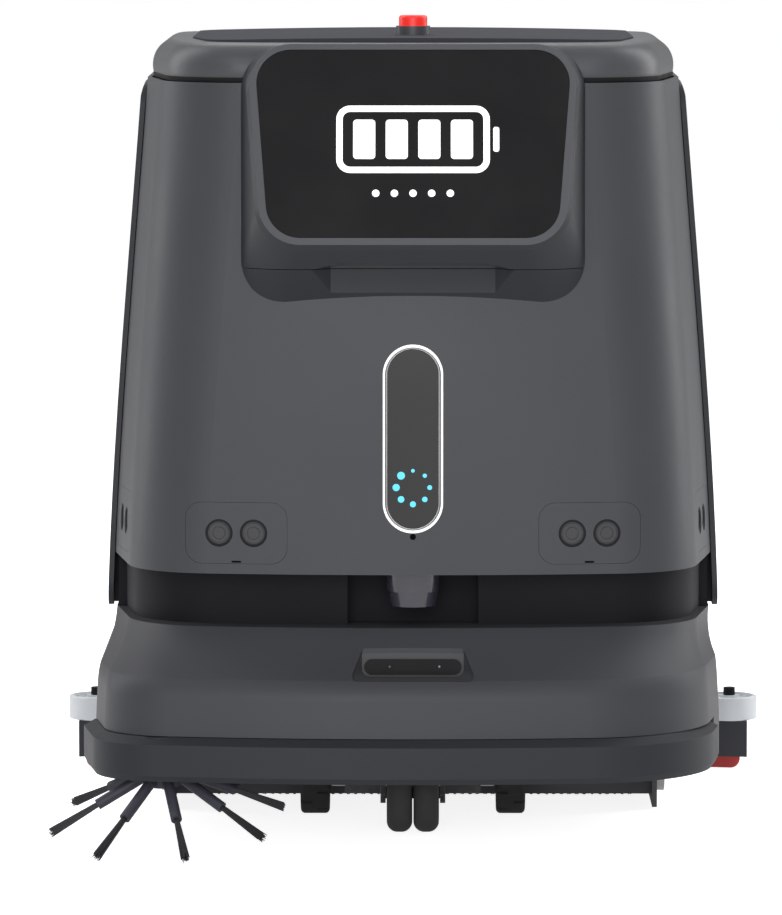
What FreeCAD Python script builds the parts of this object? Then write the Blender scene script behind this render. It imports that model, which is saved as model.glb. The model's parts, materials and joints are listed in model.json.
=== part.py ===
import FreeCAD, Part
import math
import os

# Floor-scrubbing cleaning robot. Millimetres, +Z up, front towards -Y, origin on the floor
# below the middle of the whole machine.

V = FreeCAD.Vector

# Heights of the main parting lines
BODY_BOTTOM = 67.0
BUMPER_TOP = 105.0
CREASE_HEIGHT = 148.0
HOOD_TOP = 194.0
SHELL_BOTTOM = 242.0
SHELL_MIDDLE = 440.0
LID_TOP = 700.0
LID_HEIGHT = 34.0
SHELL_TOP = LID_TOP - LID_HEIGHT

# Walls, clearances and how far cutting shapes reach
WALL = 3.5
SEAM = 0.6
SEAT = 0.3
RUNNING = 0.05
PANEL_GAP = 0.3
ROUND_SLACK = 0.01
CUT_MARGIN = 20.0
FAR = 1000.0

# Plan outline of the body: bowed front, round front corners, flared cheeks, straight flanks
FRONT_BOW = 1240.0
CHEEK_FLARE = 9.0
UPPER_HALF = 266.0
UPPER_HALF_MIDDLE = 253.5
UPPER_HALF_TOP = 235.5
UPPER_FRONT = -240.0
UPPER_FRONT_MIDDLE = -234.0
UPPER_FRONT_TOP = -218.0
UPPER_REAR = 222.0
UPPER_REAR_MIDDLE = 216.0
UPPER_REAR_TOP = 205.0
UPPER_CORNER = 82.0
UPPER_SHOULDER = -52.0
REAR_CORNER = 60.0
SHELL_SPLIT = 70.0

# Lid: undercut at the seam, widest line above it, then drops below the top with their steps inwards
LID_INSET = 4.5
LID_WALL = 4.0
LID_UNDERCUT = 2.0
LID_BULGE = 9.0
LID_ROUND = ((12.0, 2.5), (4.0, 9.0), (0.0, 22.0))
LID_ROOF = 16.0
LID_PANEL_INSET = 40.0
LID_PANEL_RISE = 4.0
HINGE_Y = 213.0
HINGE_DROP = 4.0
HINGE_Z = SHELL_TOP - HINGE_DROP
HINGE_PIN_RADIUS = 3.0
HINGE_BARREL_RADIUS = 7.0
HINGE_X = 70.0
HINGE_LENGTH = 20.0

# Emergency stop
STOP_Y = -85.0
STOP_COLLAR_RADIUS = 15.0
STOP_COLLAR_HEIGHT = 8.0
STOP_CAP_RADIUS = 12.5
STOP_CAP_HEIGHT = 9.0
STOP_CAP_ROUND = 2.5
STOP_STEM_RADIUS = 6.0
STOP_STEM_DROP = 12.0
STOP_TRAVEL = 4.0

# Tilted screen head
SCREEN_TILT = 18.2
SCREEN_SET_BACK = 4.0
SCREEN_DROP = 3.0
SCREEN_TOP_Y = UPPER_FRONT_TOP + SCREEN_SET_BACK
SCREEN_TOP_Z = LID_TOP - SCREEN_DROP
GLASS_TOP_WIDTH = 275.0
GLASS_BOTTOM_WIDTH = 248.0
GLASS_LENGTH = 170.0
GLASS_CORNER = 30.0
GLASS_THICKNESS = 3.0
GLASS_TOP = -2.0
BEZEL_WIDTH = 6.0
BEZEL_DEPTH = 4.0
BEZEL_TOP = 3.0
HEAD_HALF = 148.5
HEAD_HEIGHT = 225.0
HEAD_BOTTOM = LID_TOP - HEAD_HEIGHT
HEAD_CORNER = 40.0
HEAD_ROUND = 3.6
HEAD_ROUND_TOP = 1.2
HEAD_ROUND_DEPTH = 5.0
HEAD_TOP_DROP = 1.0
HEAD_BACK_SET = 13.0
HEAD_BACK_TILT = 5.0
HEAD_CLEARANCE = 1.2
CHIN_HEIGHT = 32.0
HEAD_PARTING = HEAD_BOTTOM + CHIN_HEIGHT

# Finger scoop under the screen head
SCOOP_HALF = 71.0
SCOOP_FLARE = 44.0
SCOOP_REACH = 66.0
SCOOP_ARCH = 6.0
SCOOP_ARCH_HALF = 63.0
SCOOP_EDGE_HALF = 88.0
SCOOP_DROP = 10.0
SCOOP_FACE = -234.0

# Light stadium and ultrasonic sensors on the front
RING_HALF = 26.0
RING_BOTTOM = 278.5
RING_TO_HEAD = 33.5
RING_TOP = HEAD_BOTTOM - RING_TO_HEAD
RING_WIDTH = 3.6
RING_PROUD = 0.8
LIGHT_PANEL_RECESS = 0.6
SONAR_PANEL_WIDTH = 88.0
SONAR_PANEL_HEIGHT = 53.0
SONAR_PANEL_CORNER = 14.0
SONAR_PANEL_X = 153.0
SONAR_Z = 277.5
SONAR_PITCH = 30.0
SONAR_RADIUS = 12.0
SONAR_DEPTH = 14.0
SONAR_RECESS = 1.2
SONAR_GROOVE = 1.0
SONAR_GROOVE_SHARES = (0.8, 0.5)
SONAR_SIDE_Y = -108.0

# Side covers: thickness, lower tip and a shoulder given as drops below the shell and steps inwards
COVER_THICKNESS = 4.6
COVER_BOTTOM = 186.0
COVER_BOTTOM_HALF = 268.0
COVER_TOP_DROP = 4.0
COVER_TOP = SHELL_TOP - COVER_TOP_DROP
COVER_REAR = 158.0
COVER_TIP_RISE = 46.0
COVER_CORNER = 24.0
COVER_SHOULDER = ((46.0, -3.0), (22.0, -0.2), (10.0, 1.3), (2.0, 4.0))

# Neck between hood and shell, with wider blocks behind its corners and the scanner pocket
NECK_HALF = 257.0
NECK_FRONT = -200.0
NECK_REAR = 205.0
NECK_WALL = 4.0
NECK_BLOCK_HALF = 262.5
NECK_BLOCK_FRONT = -60.0
NECK_BLOCK_REAR = 140.0
POCKET_HALF = 57.0
POCKET_BACK = -172.0
SCANNER_Y = -205.0
SCANNER_RADIUS = 23.4
SCANNER_TAPER = 0.8
SCANNER_BAND = 17.0
SCANNER_RING = 13.0
SCANNER_RING_STEP = 1.8
SCANNER_RING_TAPER = 2.2

# Lower hood: coved slope, rounded crease and upright skirt, wider on the left
HOOD_HALF = 264.5
HOOD_FRONT = -225.0
HOOD_REAR = 232.0
HOOD_COVE = 3.0
CREASE_FRONT = -285.0
CREASE_LEFT = 277.0
CREASE_RIGHT = 269.5
CREASE_SLOPE_SHARE = 0.86
CREASE_SKIRT_SHARE = 0.25
SKIRT_FRONT = -288.0
SKIRT_LEFT = 279.0
SKIRT_RIGHT = 272.0
LEFT_SHOULDER = -150.0
RIGHT_SHOULDER = -100.0
LEFT_CORNER = 66.0
RIGHT_CORNER = 122.0

# Bumper
BUMPER_FRONT = -299.0
BUMPER_LEFT = 290.0
BUMPER_RIGHT = 277.0
BUMPER_BEVEL = 10.0
BUMPER_BEVEL_HEIGHT = 6.0
BUMPER_WALL = 5.0
BUMPER_LIP = 16.0
BUMPER_END = -152.0
BUMPER_TRAVEL = 8.0
BUMPER_GAP = 0.5
BUMPER_BAY_GAP = 2.0
GUIDE_X = 120.0
GUIDE_Z = 90.0
GUIDE_RADIUS = 5.0
GUIDE_ROOT = 1.0
GUIDE_FLANGE_Y = -256.0
GUIDE_FLANGE_HEIGHT = 20.0
GUIDE_FLANGE_MARGIN = 20.0
GUIDE_FLANGE_THICKNESS = 6.0

# Depth camera in the hood
CAMERA_Z = 162.6
CAMERA_WIDTH = 84.0
CAMERA_HEIGHT = 13.4
CAMERA_DEPTH = 3.0
CAMERA_FACE = -242.0
CAMERA_MARGIN = 2.0
CAMERA_POCKET_TOP = 181.0
CAMERA_POCKET_FLARE = 14.0
CAMERA_POCKET_ROUND = 7.0
CAMERA_POCKET_WALL = 4.0

# Chassis plate
PLATE_BOTTOM = 76.0
PLATE_THICKNESS = 6.0
PLATE_INSET = 28.0
PLATE_GAP = 4.0

# Casters and wheels alike
CASTER_REACH = 16.0
CASTER_FOOT = 4.0
CASTER_COLLAR = 5.0
CASTER_COLLAR_HEIGHT = 6.0
CASTER_STEM_TOP = 10.0
WHEEL_RIM = 3.0
WHEEL_DISH = 2.0
WHEEL_HUB = 4.0

# Front twin caster
CASTER_PIVOT_Y = -147.0
CASTER_TRAIL = 25.0
CASTER_RADIUS = 34.5
CASTER_WHEEL_WIDTH = 22.6
CASTER_WHEEL_GAP = 1.0
CASTER_WHEEL_ROUND = 9.5
CASTER_FORK_THICKNESS = 4.6
CASTER_AXLE_RADIUS = 5.0
CASTER_STEM_RADIUS = 8.0
CASTER_CROWN = 6.0

# Drive wheels
DRIVE_X = 88.0
DRIVE_Y = -10.0
DRIVE_RADIUS = 50.0
DRIVE_WIDTH = 26.0
DRIVE_ROUND = 4.0
DRIVE_HUB_RADIUS = 36.0
DRIVE_HUB_INSET = 2.0
DRIVE_HUB_RIM = 5.0
DRIVE_HUB_DISH = 5.0
DRIVE_HUB_BOSS = 12.0
DRIVE_SHAFT_RADIUS = 7.0
DRIVE_SHAFT_GRIP = 4.0
DRIVE_MOTOR_RADIUS = 25.5
DRIVE_MOTOR_LENGTH = 56.0
DRIVE_GAP = 2.0
DRIVE_ARCH_GAP = 3.0
DRIVE_SADDLE_WALL = 6.0
DRIVE_SADDLE_INSET = 12.0
DRIVE_SADDLE_OPEN = 4.0
TREAD_BLOCKS = 24
TREAD_DEPTH = 2.5
TREAD_HALF = 2.2
TREAD_SHARE = 0.4

# Rear swivel casters
REAR_CASTER_X = 150.0
REAR_CASTER_Y = 190.0
REAR_CASTER_RADIUS = 26.0
REAR_CASTER_TRAIL = 16.0
REAR_CASTER_WIDTH = 18.0
REAR_CASTER_ROUND = 4.0
REAR_CASTER_FORK = 3.5
REAR_CASTER_AXLE = 4.0

# Side brush: eight arms on a cone round a tilted axis, driven by a motor on two straps
BRUSH_X = -213.0
BRUSH_Y = -232.0
BRUSH_PLANE_Z = 26.2
BRUSH_LEAN_SIDE = 3.0
BRUSH_LEAN_FRONT = 11.2
BRUSH_TIP_RADIUS = 104.0
BRUSH_APEX = 52.0
BRUSH_ARMS = 8
BRUSH_PHASE = 145.0
BRUSH_HOLDER_SHARE = 0.58
BRUSH_HOLDER_RADIUS = 4.8
BRUSH_HOLDER_START = 0.14
BRUSH_ROOT_RADIUS = 2.9
BRUSH_FLARE_RADIUS = 4.8
BRUSH_HUB_RADIUS = 18.0
BRUSH_HUB_LOW = 36.0
BRUSH_HUB_HIGH = 54.0
BRUSH_SHAFT_RADIUS = 4.0
BRUSH_SHAFT_SHORT = 4.0
BRUSH_MOTOR_RADIUS = 16.0
BRUSH_MOTOR_HEIGHT = 26.0
BRUSH_MOTOR_LIFT = 2.0
BRUSH_MOTOR_CROWN = 3.0
BRUSH_MOTOR_ROOM = 1.2
BRUSH_PLATE_HOLE = 32.0
BRUSH_STRAP_TURNS = (5.0, 105.0)
BRUSH_STRAP_RISE = 6.0
BRUSH_STRAP_ROOT = 4.0
BRUSH_STRAP_REACH = 48.0
BRUSH_STRAP_WIDTH = 16.0
BRUSH_STRAP_THICKNESS = 4.0
BRUSH_POST_RADIUS = 6.0
BRUSH_POST_EDGE = 1.0

# Scrub deck with its roller brush
DECK_HALF = 217.0
DECK_FRONT = 46.0
DECK_REAR = 130.0
DECK_TOP = 78.0
DECK_LIP = 9.0
DECK_WALL = 4.0
DECK_LIFT = 20.0
DECK_GAP = 4.0
ROLLER_Y = 88.0
ROLLER_Z = 35.5
ROLLER_TIP_RADIUS = 34.5
ROLLER_CORE_RADIUS = 22.0
ROLLER_CORE_GAP = 3.0
ROLLER_JOURNAL_RADIUS = 8.0
ROLLER_ROWS = 10
ROLLER_STRIP_HALF = 3.2
ROLLER_STRIP_ROOT = 2.0
ROLLER_STRIP_END = 4.0
SKIRT_THICKNESS = 4.4
SKIRT_FRONT_Y = 10.0
SKIRT_REAR_Y = 138.0
SKIRT_LOW = 2.0
SKIRT_HIGH = 50.0
DECK_ROD_X = 150.0
DECK_ROD_RADIUS = 6.0
DECK_ROD_SPARE = 14.0
DECK_BRIDGE_Z = 118.0
DECK_BRIDGE_THICKNESS = 8.0
DECK_BRIDGE_MARGIN = 16.0
DECK_BRIDGE_HALF = 20.0
DECK_MOTOR_RADIUS = 21.0
DECK_MOTOR_LENGTH = 120.0
DECK_SADDLE_HEIGHT = 10.0
BEARING_CAP_RADIUS = 29.0
BEARING_CAP_THICKNESS = 9.0

# Squeegee with its guard rollers
SQUEEGEE_BOW = 1450.0
SQUEEGEE_CENTRE_Y = 316.0
SQUEEGEE_HALF = 316.0
SQUEEGEE_DEPTH = 40.0
SQUEEGEE_TOP = 46.0
SQUEEGEE_LOW = 12.0
SQUEEGEE_WALL = 6.0
SQUEEGEE_LIFT = 18.0
BLADE_THICKNESS = 4.0
BLADE_LOW = 0.6
BLADE_TOP = 32.0
BLADE_ROUND = 9.0
GUARD_INSET = 16.0
GUARD_X = SQUEEGEE_HALF - GUARD_INSET
GUARD_RADIUS = 26.0
GUARD_HEIGHT = 22.0
GUARD_ROUND = 1.5
GUARD_BOLT_RADIUS = 4.0
GUARD_HEAD_RADIUS = 5.5
GUARD_HEAD_HEIGHT = 7.0
GUARD_RIBS = 12
GUARD_RIB_HALF = 0.9
GUARD_RIB_ROOT = 1.0
GUARD_RIB_DROP = 2.0
GUARD_RIM = 4.0
GUARD_HUB_RADIUS = 9.0
GUARD_POCKET = 7.0
MAST_HALF = 62.0
MAST_TOP = 150.0
MAST_THICKNESS = 6.0
RAIL_WIDTH = 8.0
SUCTION_RADIUS = 20.0
SUCTION_TOP = 118.0
SUCTION_WALL = 3.0
SUCTION_END = 214.0
SUCTION_ROOM = 5.0
MAST_RIB_X = 44.0
MAST_RIB_WIDTH = 8.0
MAST_RIB_HEIGHT = 14.0
RAIL_LOW = 100.0
RAIL_HIGH = 165.0
RAIL_LIP = 3.4

# What the upper body holds
SHELF_Z = 342.0
SHELF_THICKNESS = 5.0
SHELF_INSET = 8.0
SHELF_LEG_X = 205.0
SHELF_LEG_YS = (-120.0, 140.0)
SHELF_LEG_HALF = 8.0
TANK_DROP = 26.0
TANK_TOP = SHELL_TOP - TANK_DROP
TANK_FRONT = -186.0
TANK_GAP = 8.0
TANK_NECK_RADIUS = 32.0
TANK_NECK_X = 110.0
TANK_NECK_Y = 95.0
CAP_RADIUS = 38.0
CAP_HEIGHT = 14.0
CAP_ROOF = 5.0
CAP_GRIP_INSET = 6.0
CAP_GRIP_HALF = 4.0
CAP_GRIP_HEIGHT = 7.0
BOX_INNER_X = 20.0
BOX_OUTER_X = 175.0
BOX_FRONT = -110.0
BATTERY_REAR = 90.0
BATTERY_HEADROOM = 10.0
CONTROL_REAR = -10.0
CONTROL_HEADROOM = 30.0
VACUUM_X = 95.0
VACUUM_Y = 80.0
VACUUM_RADIUS = 55.0
VACUUM_HEIGHT = 70.0
VACUUM_TOP_RADIUS = 30.0
VACUUM_TOP_HEIGHT = 16.0

# Charging contacts at the back of the hood
CONTACT_X = 120.0
CONTACT_Z = 150.0
CONTACT_WIDTH = 46.0
CONTACT_HEIGHT = 22.0
CONTACT_THICKNESS = 3.0


class Outline:
    """Closed plan outline: bowed front, round corners, flared cheeks, straight flanks and back.

    Half widths, corner radii and shoulders are pairs for the left and right-hand sides.
    """

    def __init__(self, front, rear, halves, corners, shoulders):
        self.front = front
        self.rear = rear
        self.halves = halves
        self.corners = corners
        self.shoulders = shoulders

    def flank(self, side, inset):
        """Points of one side, right-hand if side is 1: bow end, corner, shoulder and rear corner."""
        index = 1 if side > 0 else 0
        half = self.halves[index]
        corner = self.corners[index] - inset
        flare = math.radians(CHEEK_FLARE)
        normal_x = math.cos(flare)
        normal_y = -math.sin(flare)
        line = normal_x * half + normal_y * self.shoulders[index] - inset
        bow = FRONT_BOW - inset
        centre_y = self.front + inset + bow
        turn = math.asin((line - corner - normal_y * centre_y) / (bow - corner)) - flare
        out_x = math.sin(turn)
        out_y = -math.cos(turn)
        corner_x = (bow - corner) * out_x
        corner_y = centre_y + (bow - corner) * out_y
        middle_x = out_x + normal_x
        middle_y = out_y + normal_y
        length = math.hypot(middle_x, middle_y)
        flank_x = half - inset
        rear = self.rear - inset
        round_rear = REAR_CORNER - inset
        tuck = round_rear * (1 - math.sqrt(0.5))
        points = [
            (bow * out_x, centre_y + bow * out_y),
            (corner_x + corner * middle_x / length, corner_y + corner * middle_y / length),
            (corner_x + corner * normal_x, corner_y + corner * normal_y),
            (flank_x, (normal_x * flank_x - line) / -normal_y),
            (flank_x, rear - round_rear),
            (flank_x - tuck, rear - tuck),
            (flank_x - round_rear, rear),
        ]
        return [(side * x, y) for x, y in points]

    def wire(self, z, inset=0.0):
        right = [V(x, y, z) for x, y in self.flank(1, inset)]
        left = [V(x, y, z) for x, y in self.flank(-1, inset)]
        nose = V(0, self.front + inset, z)
        edges = [
            Part.Arc(left[0], nose, right[0]).toShape(),
            Part.Arc(right[0], right[1], right[2]).toShape(),
            Part.LineSegment(right[2], right[3]).toShape(),
            Part.LineSegment(right[3], right[4]).toShape(),
            Part.Arc(right[4], right[5], right[6]).toShape(),
            Part.LineSegment(right[6], left[6]).toShape(),
            Part.Arc(left[6], left[5], left[4]).toShape(),
            Part.LineSegment(left[4], left[3]).toShape(),
            Part.LineSegment(left[3], left[2]).toShape(),
            Part.Arc(left[2], left[1], left[0]).toShape(),
        ]
        return Part.Wire(edges)

    def towards(self, other, share, step=0.0):
        """Outline part of the way to another one, stepped inwards at the front and sides."""

        def mixed(first, second):
            return tuple(a + share * (b - a) for a, b in zip(first, second))

        front = self.front + share * (other.front - self.front) + step
        rear = self.rear + share * (other.rear - self.rear)
        halves = tuple(half - step for half in mixed(self.halves, other.halves))
        return Outline(front, rear, halves, mixed(self.corners, other.corners),
                       mixed(self.shoulders, other.shoulders))


def upper_outline(front, rear, half):
    return Outline(front, rear, (half, half), (UPPER_CORNER, UPPER_CORNER), (UPPER_SHOULDER, UPPER_SHOULDER))


def lower_outline(front, left, right):
    return Outline(front, HOOD_REAR, (left, right), (LEFT_CORNER, RIGHT_CORNER),
                   (LEFT_SHOULDER, RIGHT_SHOULDER))


UPPER_LOW = upper_outline(UPPER_FRONT, UPPER_REAR, UPPER_HALF)
UPPER_MID = upper_outline(UPPER_FRONT_MIDDLE, UPPER_REAR_MIDDLE, UPPER_HALF_MIDDLE)
UPPER_HIGH = upper_outline(UPPER_FRONT_TOP, UPPER_REAR_TOP, UPPER_HALF_TOP)
HOOD_RIM = upper_outline(HOOD_FRONT, HOOD_REAR, HOOD_HALF)
HOOD_CREASE = lower_outline(CREASE_FRONT, CREASE_LEFT, CREASE_RIGHT)
HOOD_SKIRT = lower_outline(SKIRT_FRONT, SKIRT_LEFT, SKIRT_RIGHT)
BUMPER_PLAN = lower_outline(BUMPER_FRONT, BUMPER_LEFT, BUMPER_RIGHT)
NECK_PLAN = upper_outline(NECK_FRONT, NECK_REAR, NECK_HALF)


def export(shape, name):
    shape.exportStep("parts/" + name + ".step")


def group(shapes):
    return Part.makeCompound(shapes)


def box(x0, x1, y0, y1, z0, z1):
    return Part.makeBox(x1 - x0, y1 - y0, z1 - z0, V(x0, y0, z0))


def fused(first, *others):
    return first.multiFuse(list(others)).removeSplitter()


def mirrored(shape):
    return shape.mirror(V(0, 0, 0), V(1, 0, 0))


def both_sides(shape):
    return group([shape, mirrored(shape)])


def loft(wires, ruled=False):
    return Part.makeLoft(wires, True, ruled)


def prism(wire, direction):
    return Part.Face(wire).extrude(direction)


def rounded_polygon(corners, radius):
    """Closed wire through corner points, each corner rounded by the same radius."""
    edges = []
    spans = []
    count = len(corners)
    for index in range(count):
        here = corners[index]
        before = (corners[index - 1] - here).normalize()
        after = (corners[(index + 1) % count] - here).normalize()
        half_angle = before.getAngle(after) / 2
        reach = radius / math.tan(half_angle)
        centre = here + (before + after).normalize() * (radius / math.sin(half_angle))
        middle = centre + (here - centre).normalize() * radius
        spans.append((here + before * reach, middle, here + after * reach))
    for index in range(count):
        start, middle, end = spans[index]
        edges.append(Part.Arc(start, middle, end).toShape())
        edges.append(Part.LineSegment(end, spans[(index + 1) % count][0]).toShape())
    return Part.Wire(edges)


def stadium(half, low, high, y, axis_length):
    """Upright stadium prism running from y towards the back."""
    corners = [V(-half, y, low), V(half, y, low), V(half, y, high), V(-half, y, high)]
    return prism(rounded_polygon(corners, half - ROUND_SLACK), V(0, axis_length, 0))


def ring_of(outer, inner, length, place, axis=V(0, 0, 1)):
    tube = Part.makeCylinder(outer, length, place, axis)
    return tube.cut(Part.makeCylinder(inner, length, place, axis))


def rod(radius, x0, x1, y, z):
    """Round bar along X."""
    return Part.makeCylinder(radius, x1 - x0, V(x0, y, z), V(1, 0, 0))


def below(z):
    return box(-FAR, FAR, -FAR, FAR, -FAR, z)


def in_front(y):
    return box(-FAR, FAR, -FAR, y, -FAR, FAR)


def behind(y):
    return box(-FAR, FAR, y, FAR, -FAR, FAR)


def along_taper(z, low, middle, high):
    """Value at a height on the curve through its values at the shell's bottom, middle and top."""
    heights = (SHELL_BOTTOM, SHELL_MIDDLE, SHELL_TOP)
    total = 0.0
    for index, value in enumerate((low, middle, high)):
        weight = 1.0
        for other in range(3):
            if other != index:
                weight *= (z - heights[other]) / (heights[index] - heights[other])
        total += weight * value
    return total


def front_y(z):
    """Depth of the upper body's front centre line at a height."""
    return along_taper(z, UPPER_FRONT, UPPER_FRONT_MIDDLE, UPPER_FRONT_TOP)


def upper_at(z):
    """Plan outline of the upper body at a height."""
    rear = along_taper(z, UPPER_REAR, UPPER_REAR_MIDDLE, UPPER_REAR_TOP)
    half = along_taper(z, UPPER_HALF, UPPER_HALF_MIDDLE, UPPER_HALF_TOP)
    return upper_outline(front_y(z), rear, half)


def body_form(inset=0.0):
    """The tapering form of the upper body with its hanging side covers; an inset steps inside it."""
    cover_line = upper_outline(UPPER_FRONT, UPPER_REAR, COVER_BOTTOM_HALF)
    wires = [
        cover_line.wire(COVER_BOTTOM, inset),
        UPPER_LOW.wire(SHELL_BOTTOM, inset),
        UPPER_MID.wire(SHELL_MIDDLE, inset),
        UPPER_HIGH.wire(SHELL_TOP, inset),
    ]
    return loft(wires)


BODY = body_form()
BODY_INSIDE = body_form(WALL)
SHELL_FLOOR = SHELL_BOTTOM + WALL


def upper_shell():
    """Open-topped moulded tub with a floor, before its openings are cut."""
    return BODY.cut(below(SHELL_BOTTOM)).cut(BODY_INSIDE.cut(below(SHELL_FLOOR)))


def cover_shoulder():
    """Rounded top that draws the side covers in to the lid's seam."""
    stand_off = SEAM + COVER_THICKNESS
    wires = []
    for drop, step in COVER_SHOULDER:
        z = SHELL_TOP - drop
        wires.append(upper_at(z).wire(z, step - stand_off))
    return loft(wires)


def side_cover():
    """Right-hand cover that stands off the flank and hangs below the shell."""
    outer = body_form(-SEAM - COVER_THICKNESS)
    shoulder_foot = SHELL_TOP - COVER_SHOULDER[0][0]
    top = outer.cut(below(shoulder_foot)).common(cover_shoulder())
    outer = outer.common(below(shoulder_foot)).fuse(top)
    skin = outer.cut(body_form(-SEAM))
    front = UPPER_SHOULDER
    corners = [V(0, front, COVER_BOTTOM), V(0, COVER_REAR, COVER_BOTTOM + COVER_TIP_RISE),
               V(0, COVER_REAR, COVER_TOP), V(0, front, COVER_TOP)]
    profile = rounded_polygon(corners, COVER_CORNER)
    return skin.common(prism(profile, V(FAR, 0, 0)))


def screen_point(across, up):
    """Point on the tilted screen plane, measured from its top centre."""
    tilt = math.radians(SCREEN_TILT)
    return V(across, SCREEN_TOP_Y + up * math.sin(tilt), SCREEN_TOP_Z + up * math.cos(tilt))


def screen_normal():
    tilt = math.radians(SCREEN_TILT)
    return V(0, -math.cos(tilt), math.sin(tilt))


def screen_wire(margin, top):
    """Rounded trapezium of the glass, widened by a margin."""
    high = GLASS_TOP_WIDTH / 2 + margin
    low = GLASS_BOTTOM_WIDTH / 2 + margin
    bottom = -GLASS_LENGTH - margin
    corners = [screen_point(-low, bottom), screen_point(low, bottom),
               screen_point(high, top), screen_point(-high, top)]
    return rounded_polygon(corners, GLASS_CORNER + margin)


def head_form(grow):
    """Wedge behind the screen, from a rounded bezel rim back to the body's face."""
    slope = math.tan(math.radians(HEAD_BACK_TILT))
    high = LID_TOP - HEAD_TOP_DROP
    low = HEAD_BOTTOM - grow
    half = HEAD_HALF + grow
    back_high = UPPER_FRONT_TOP + HEAD_BACK_SET
    back_low = back_high - (LID_TOP - low) * slope
    corners = [V(-half, back_low, low), V(half, back_low, low),
               V(half, back_high, high), V(-half, back_high, high)]
    rim = screen_wire(BEZEL_WIDTH + grow, BEZEL_TOP)
    rounded = screen_wire(BEZEL_WIDTH + HEAD_ROUND + grow, BEZEL_TOP + HEAD_ROUND_TOP)
    rounded.translate(screen_normal() * -HEAD_ROUND_DEPTH)
    return loft([rim, rounded, rounded_polygon(corners, HEAD_CORNER)], True)


def scoop():
    """Flared finger recess under the screen head, arched at its top."""
    mouth_half = SCOOP_HALF + SCOOP_REACH * math.tan(math.radians(SCOOP_FLARE))
    mouth_y = SCOOP_FACE - SCOOP_REACH
    low = HEAD_BOTTOM - SCOOP_DROP
    high = HEAD_PARTING + SCOOP_ARCH
    plan = [V(-mouth_half, mouth_y, low), V(mouth_half, mouth_y, low),
            V(SCOOP_HALF, SCOOP_FACE, low), V(-SCOOP_HALF, SCOOP_FACE, low)]
    face = [V(-mouth_half, mouth_y, low), V(mouth_half, mouth_y, low),
            V(mouth_half, mouth_y, HEAD_PARTING), V(SCOOP_EDGE_HALF, mouth_y, HEAD_PARTING),
            V(SCOOP_ARCH_HALF, mouth_y, high), V(-SCOOP_ARCH_HALF, mouth_y, high),
            V(-SCOOP_EDGE_HALF, mouth_y, HEAD_PARTING), V(-mouth_half, mouth_y, HEAD_PARTING)]
    flared = prism(Part.makePolygon(plan + plan[:1]), V(0, 0, high - low))
    return flared.common(prism(Part.makePolygon(face + face[:1]), V(0, SCOOP_REACH, 0)))


def lid_form():
    base = SHELL_TOP + SEAM
    steps = [(base, LID_UNDERCUT), (base + LID_BULGE, 0.0)]
    steps += [(LID_TOP - drop, step) for drop, step in LID_ROUND]
    return loft([UPPER_HIGH.wire(z, LID_INSET + step) for z, step in steps])


def lid_hollow():
    steps = [(SHELL_TOP, LID_UNDERCUT), (LID_TOP - LID_ROOF, LID_ROUND[0][1]),
             (LID_TOP - LID_WALL, LID_ROUND[-1][1])]
    return loft([UPPER_HIGH.wire(z, LID_INSET + LID_WALL + step) for z, step in steps], True)


def hinge_lug(x0, x1, y_wall, z0, z1, bore):
    """Barrel round the hinge axis with a web to its wall."""
    barrel = rod(HINGE_BARREL_RADIUS, x0, x1, HINGE_Y, HINGE_Z)
    web = box(x0, x1, y_wall, HINGE_Y, z0, z1)
    return barrel.fuse(web).cut(rod(bore, x0, x1, HINGE_Y, HINGE_Z))


def lid_parts():
    crown_radius = (UPPER_HALF_TOP ** 2) / (2 * LID_PANEL_RISE)
    crown = Part.makeCylinder(crown_radius, 2 * FAR, V(0, -FAR, LID_TOP + LID_PANEL_RISE - crown_radius),
                              V(0, 1, 0))
    slab = prism(UPPER_HIGH.wire(LID_TOP, LID_PANEL_INSET), V(0, 0, 2 * LID_PANEL_RISE))
    stem_hole = Part.makeCylinder(STOP_STEM_RADIUS + RUNNING, 2 * LID_HEIGHT, V(0, STOP_Y, SHELL_TOP))
    panel = slab.common(crown).cut(stem_hole)
    lid = lid_form().cut(lid_hollow())
    inner = HINGE_LENGTH / 2
    wall_y = UPPER_REAR_TOP - LID_INSET - LID_WALL / 2
    for side in (-1, 1):
        centre = side * HINGE_X
        lug = hinge_lug(centre - inner, centre + inner, wall_y, SHELL_TOP + 2 * SEAM, SHELL_TOP + LID_BULGE,
                        HINGE_PIN_RADIUS + RUNNING)
        lid = lid.fuse(lug)
    export(lid.cut(stem_hole).removeSplitter(), "top_lid")
    export(panel, "lid_panel")


def stop_parts():
    base = LID_TOP + LID_PANEL_RISE
    collar = ring_of(STOP_COLLAR_RADIUS, STOP_CAP_RADIUS + SEAT, STOP_COLLAR_HEIGHT, V(0, STOP_Y, base))
    foot = base + STOP_TRAVEL + SEAT
    cap = Part.makeCylinder(STOP_CAP_RADIUS, STOP_COLLAR_HEIGHT + STOP_CAP_HEIGHT - STOP_TRAVEL,
                            V(0, STOP_Y, foot))
    cap = cap.makeFillet(STOP_CAP_ROUND, [cap.Edges[0]])
    stem_low = LID_TOP - STOP_STEM_DROP
    stem = Part.makeCylinder(STOP_STEM_RADIUS, foot - stem_low, V(0, STOP_Y, stem_low))
    export(collar, "stop_collar")
    export(cap.fuse(stem).removeSplitter(), "stop_button")


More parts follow.
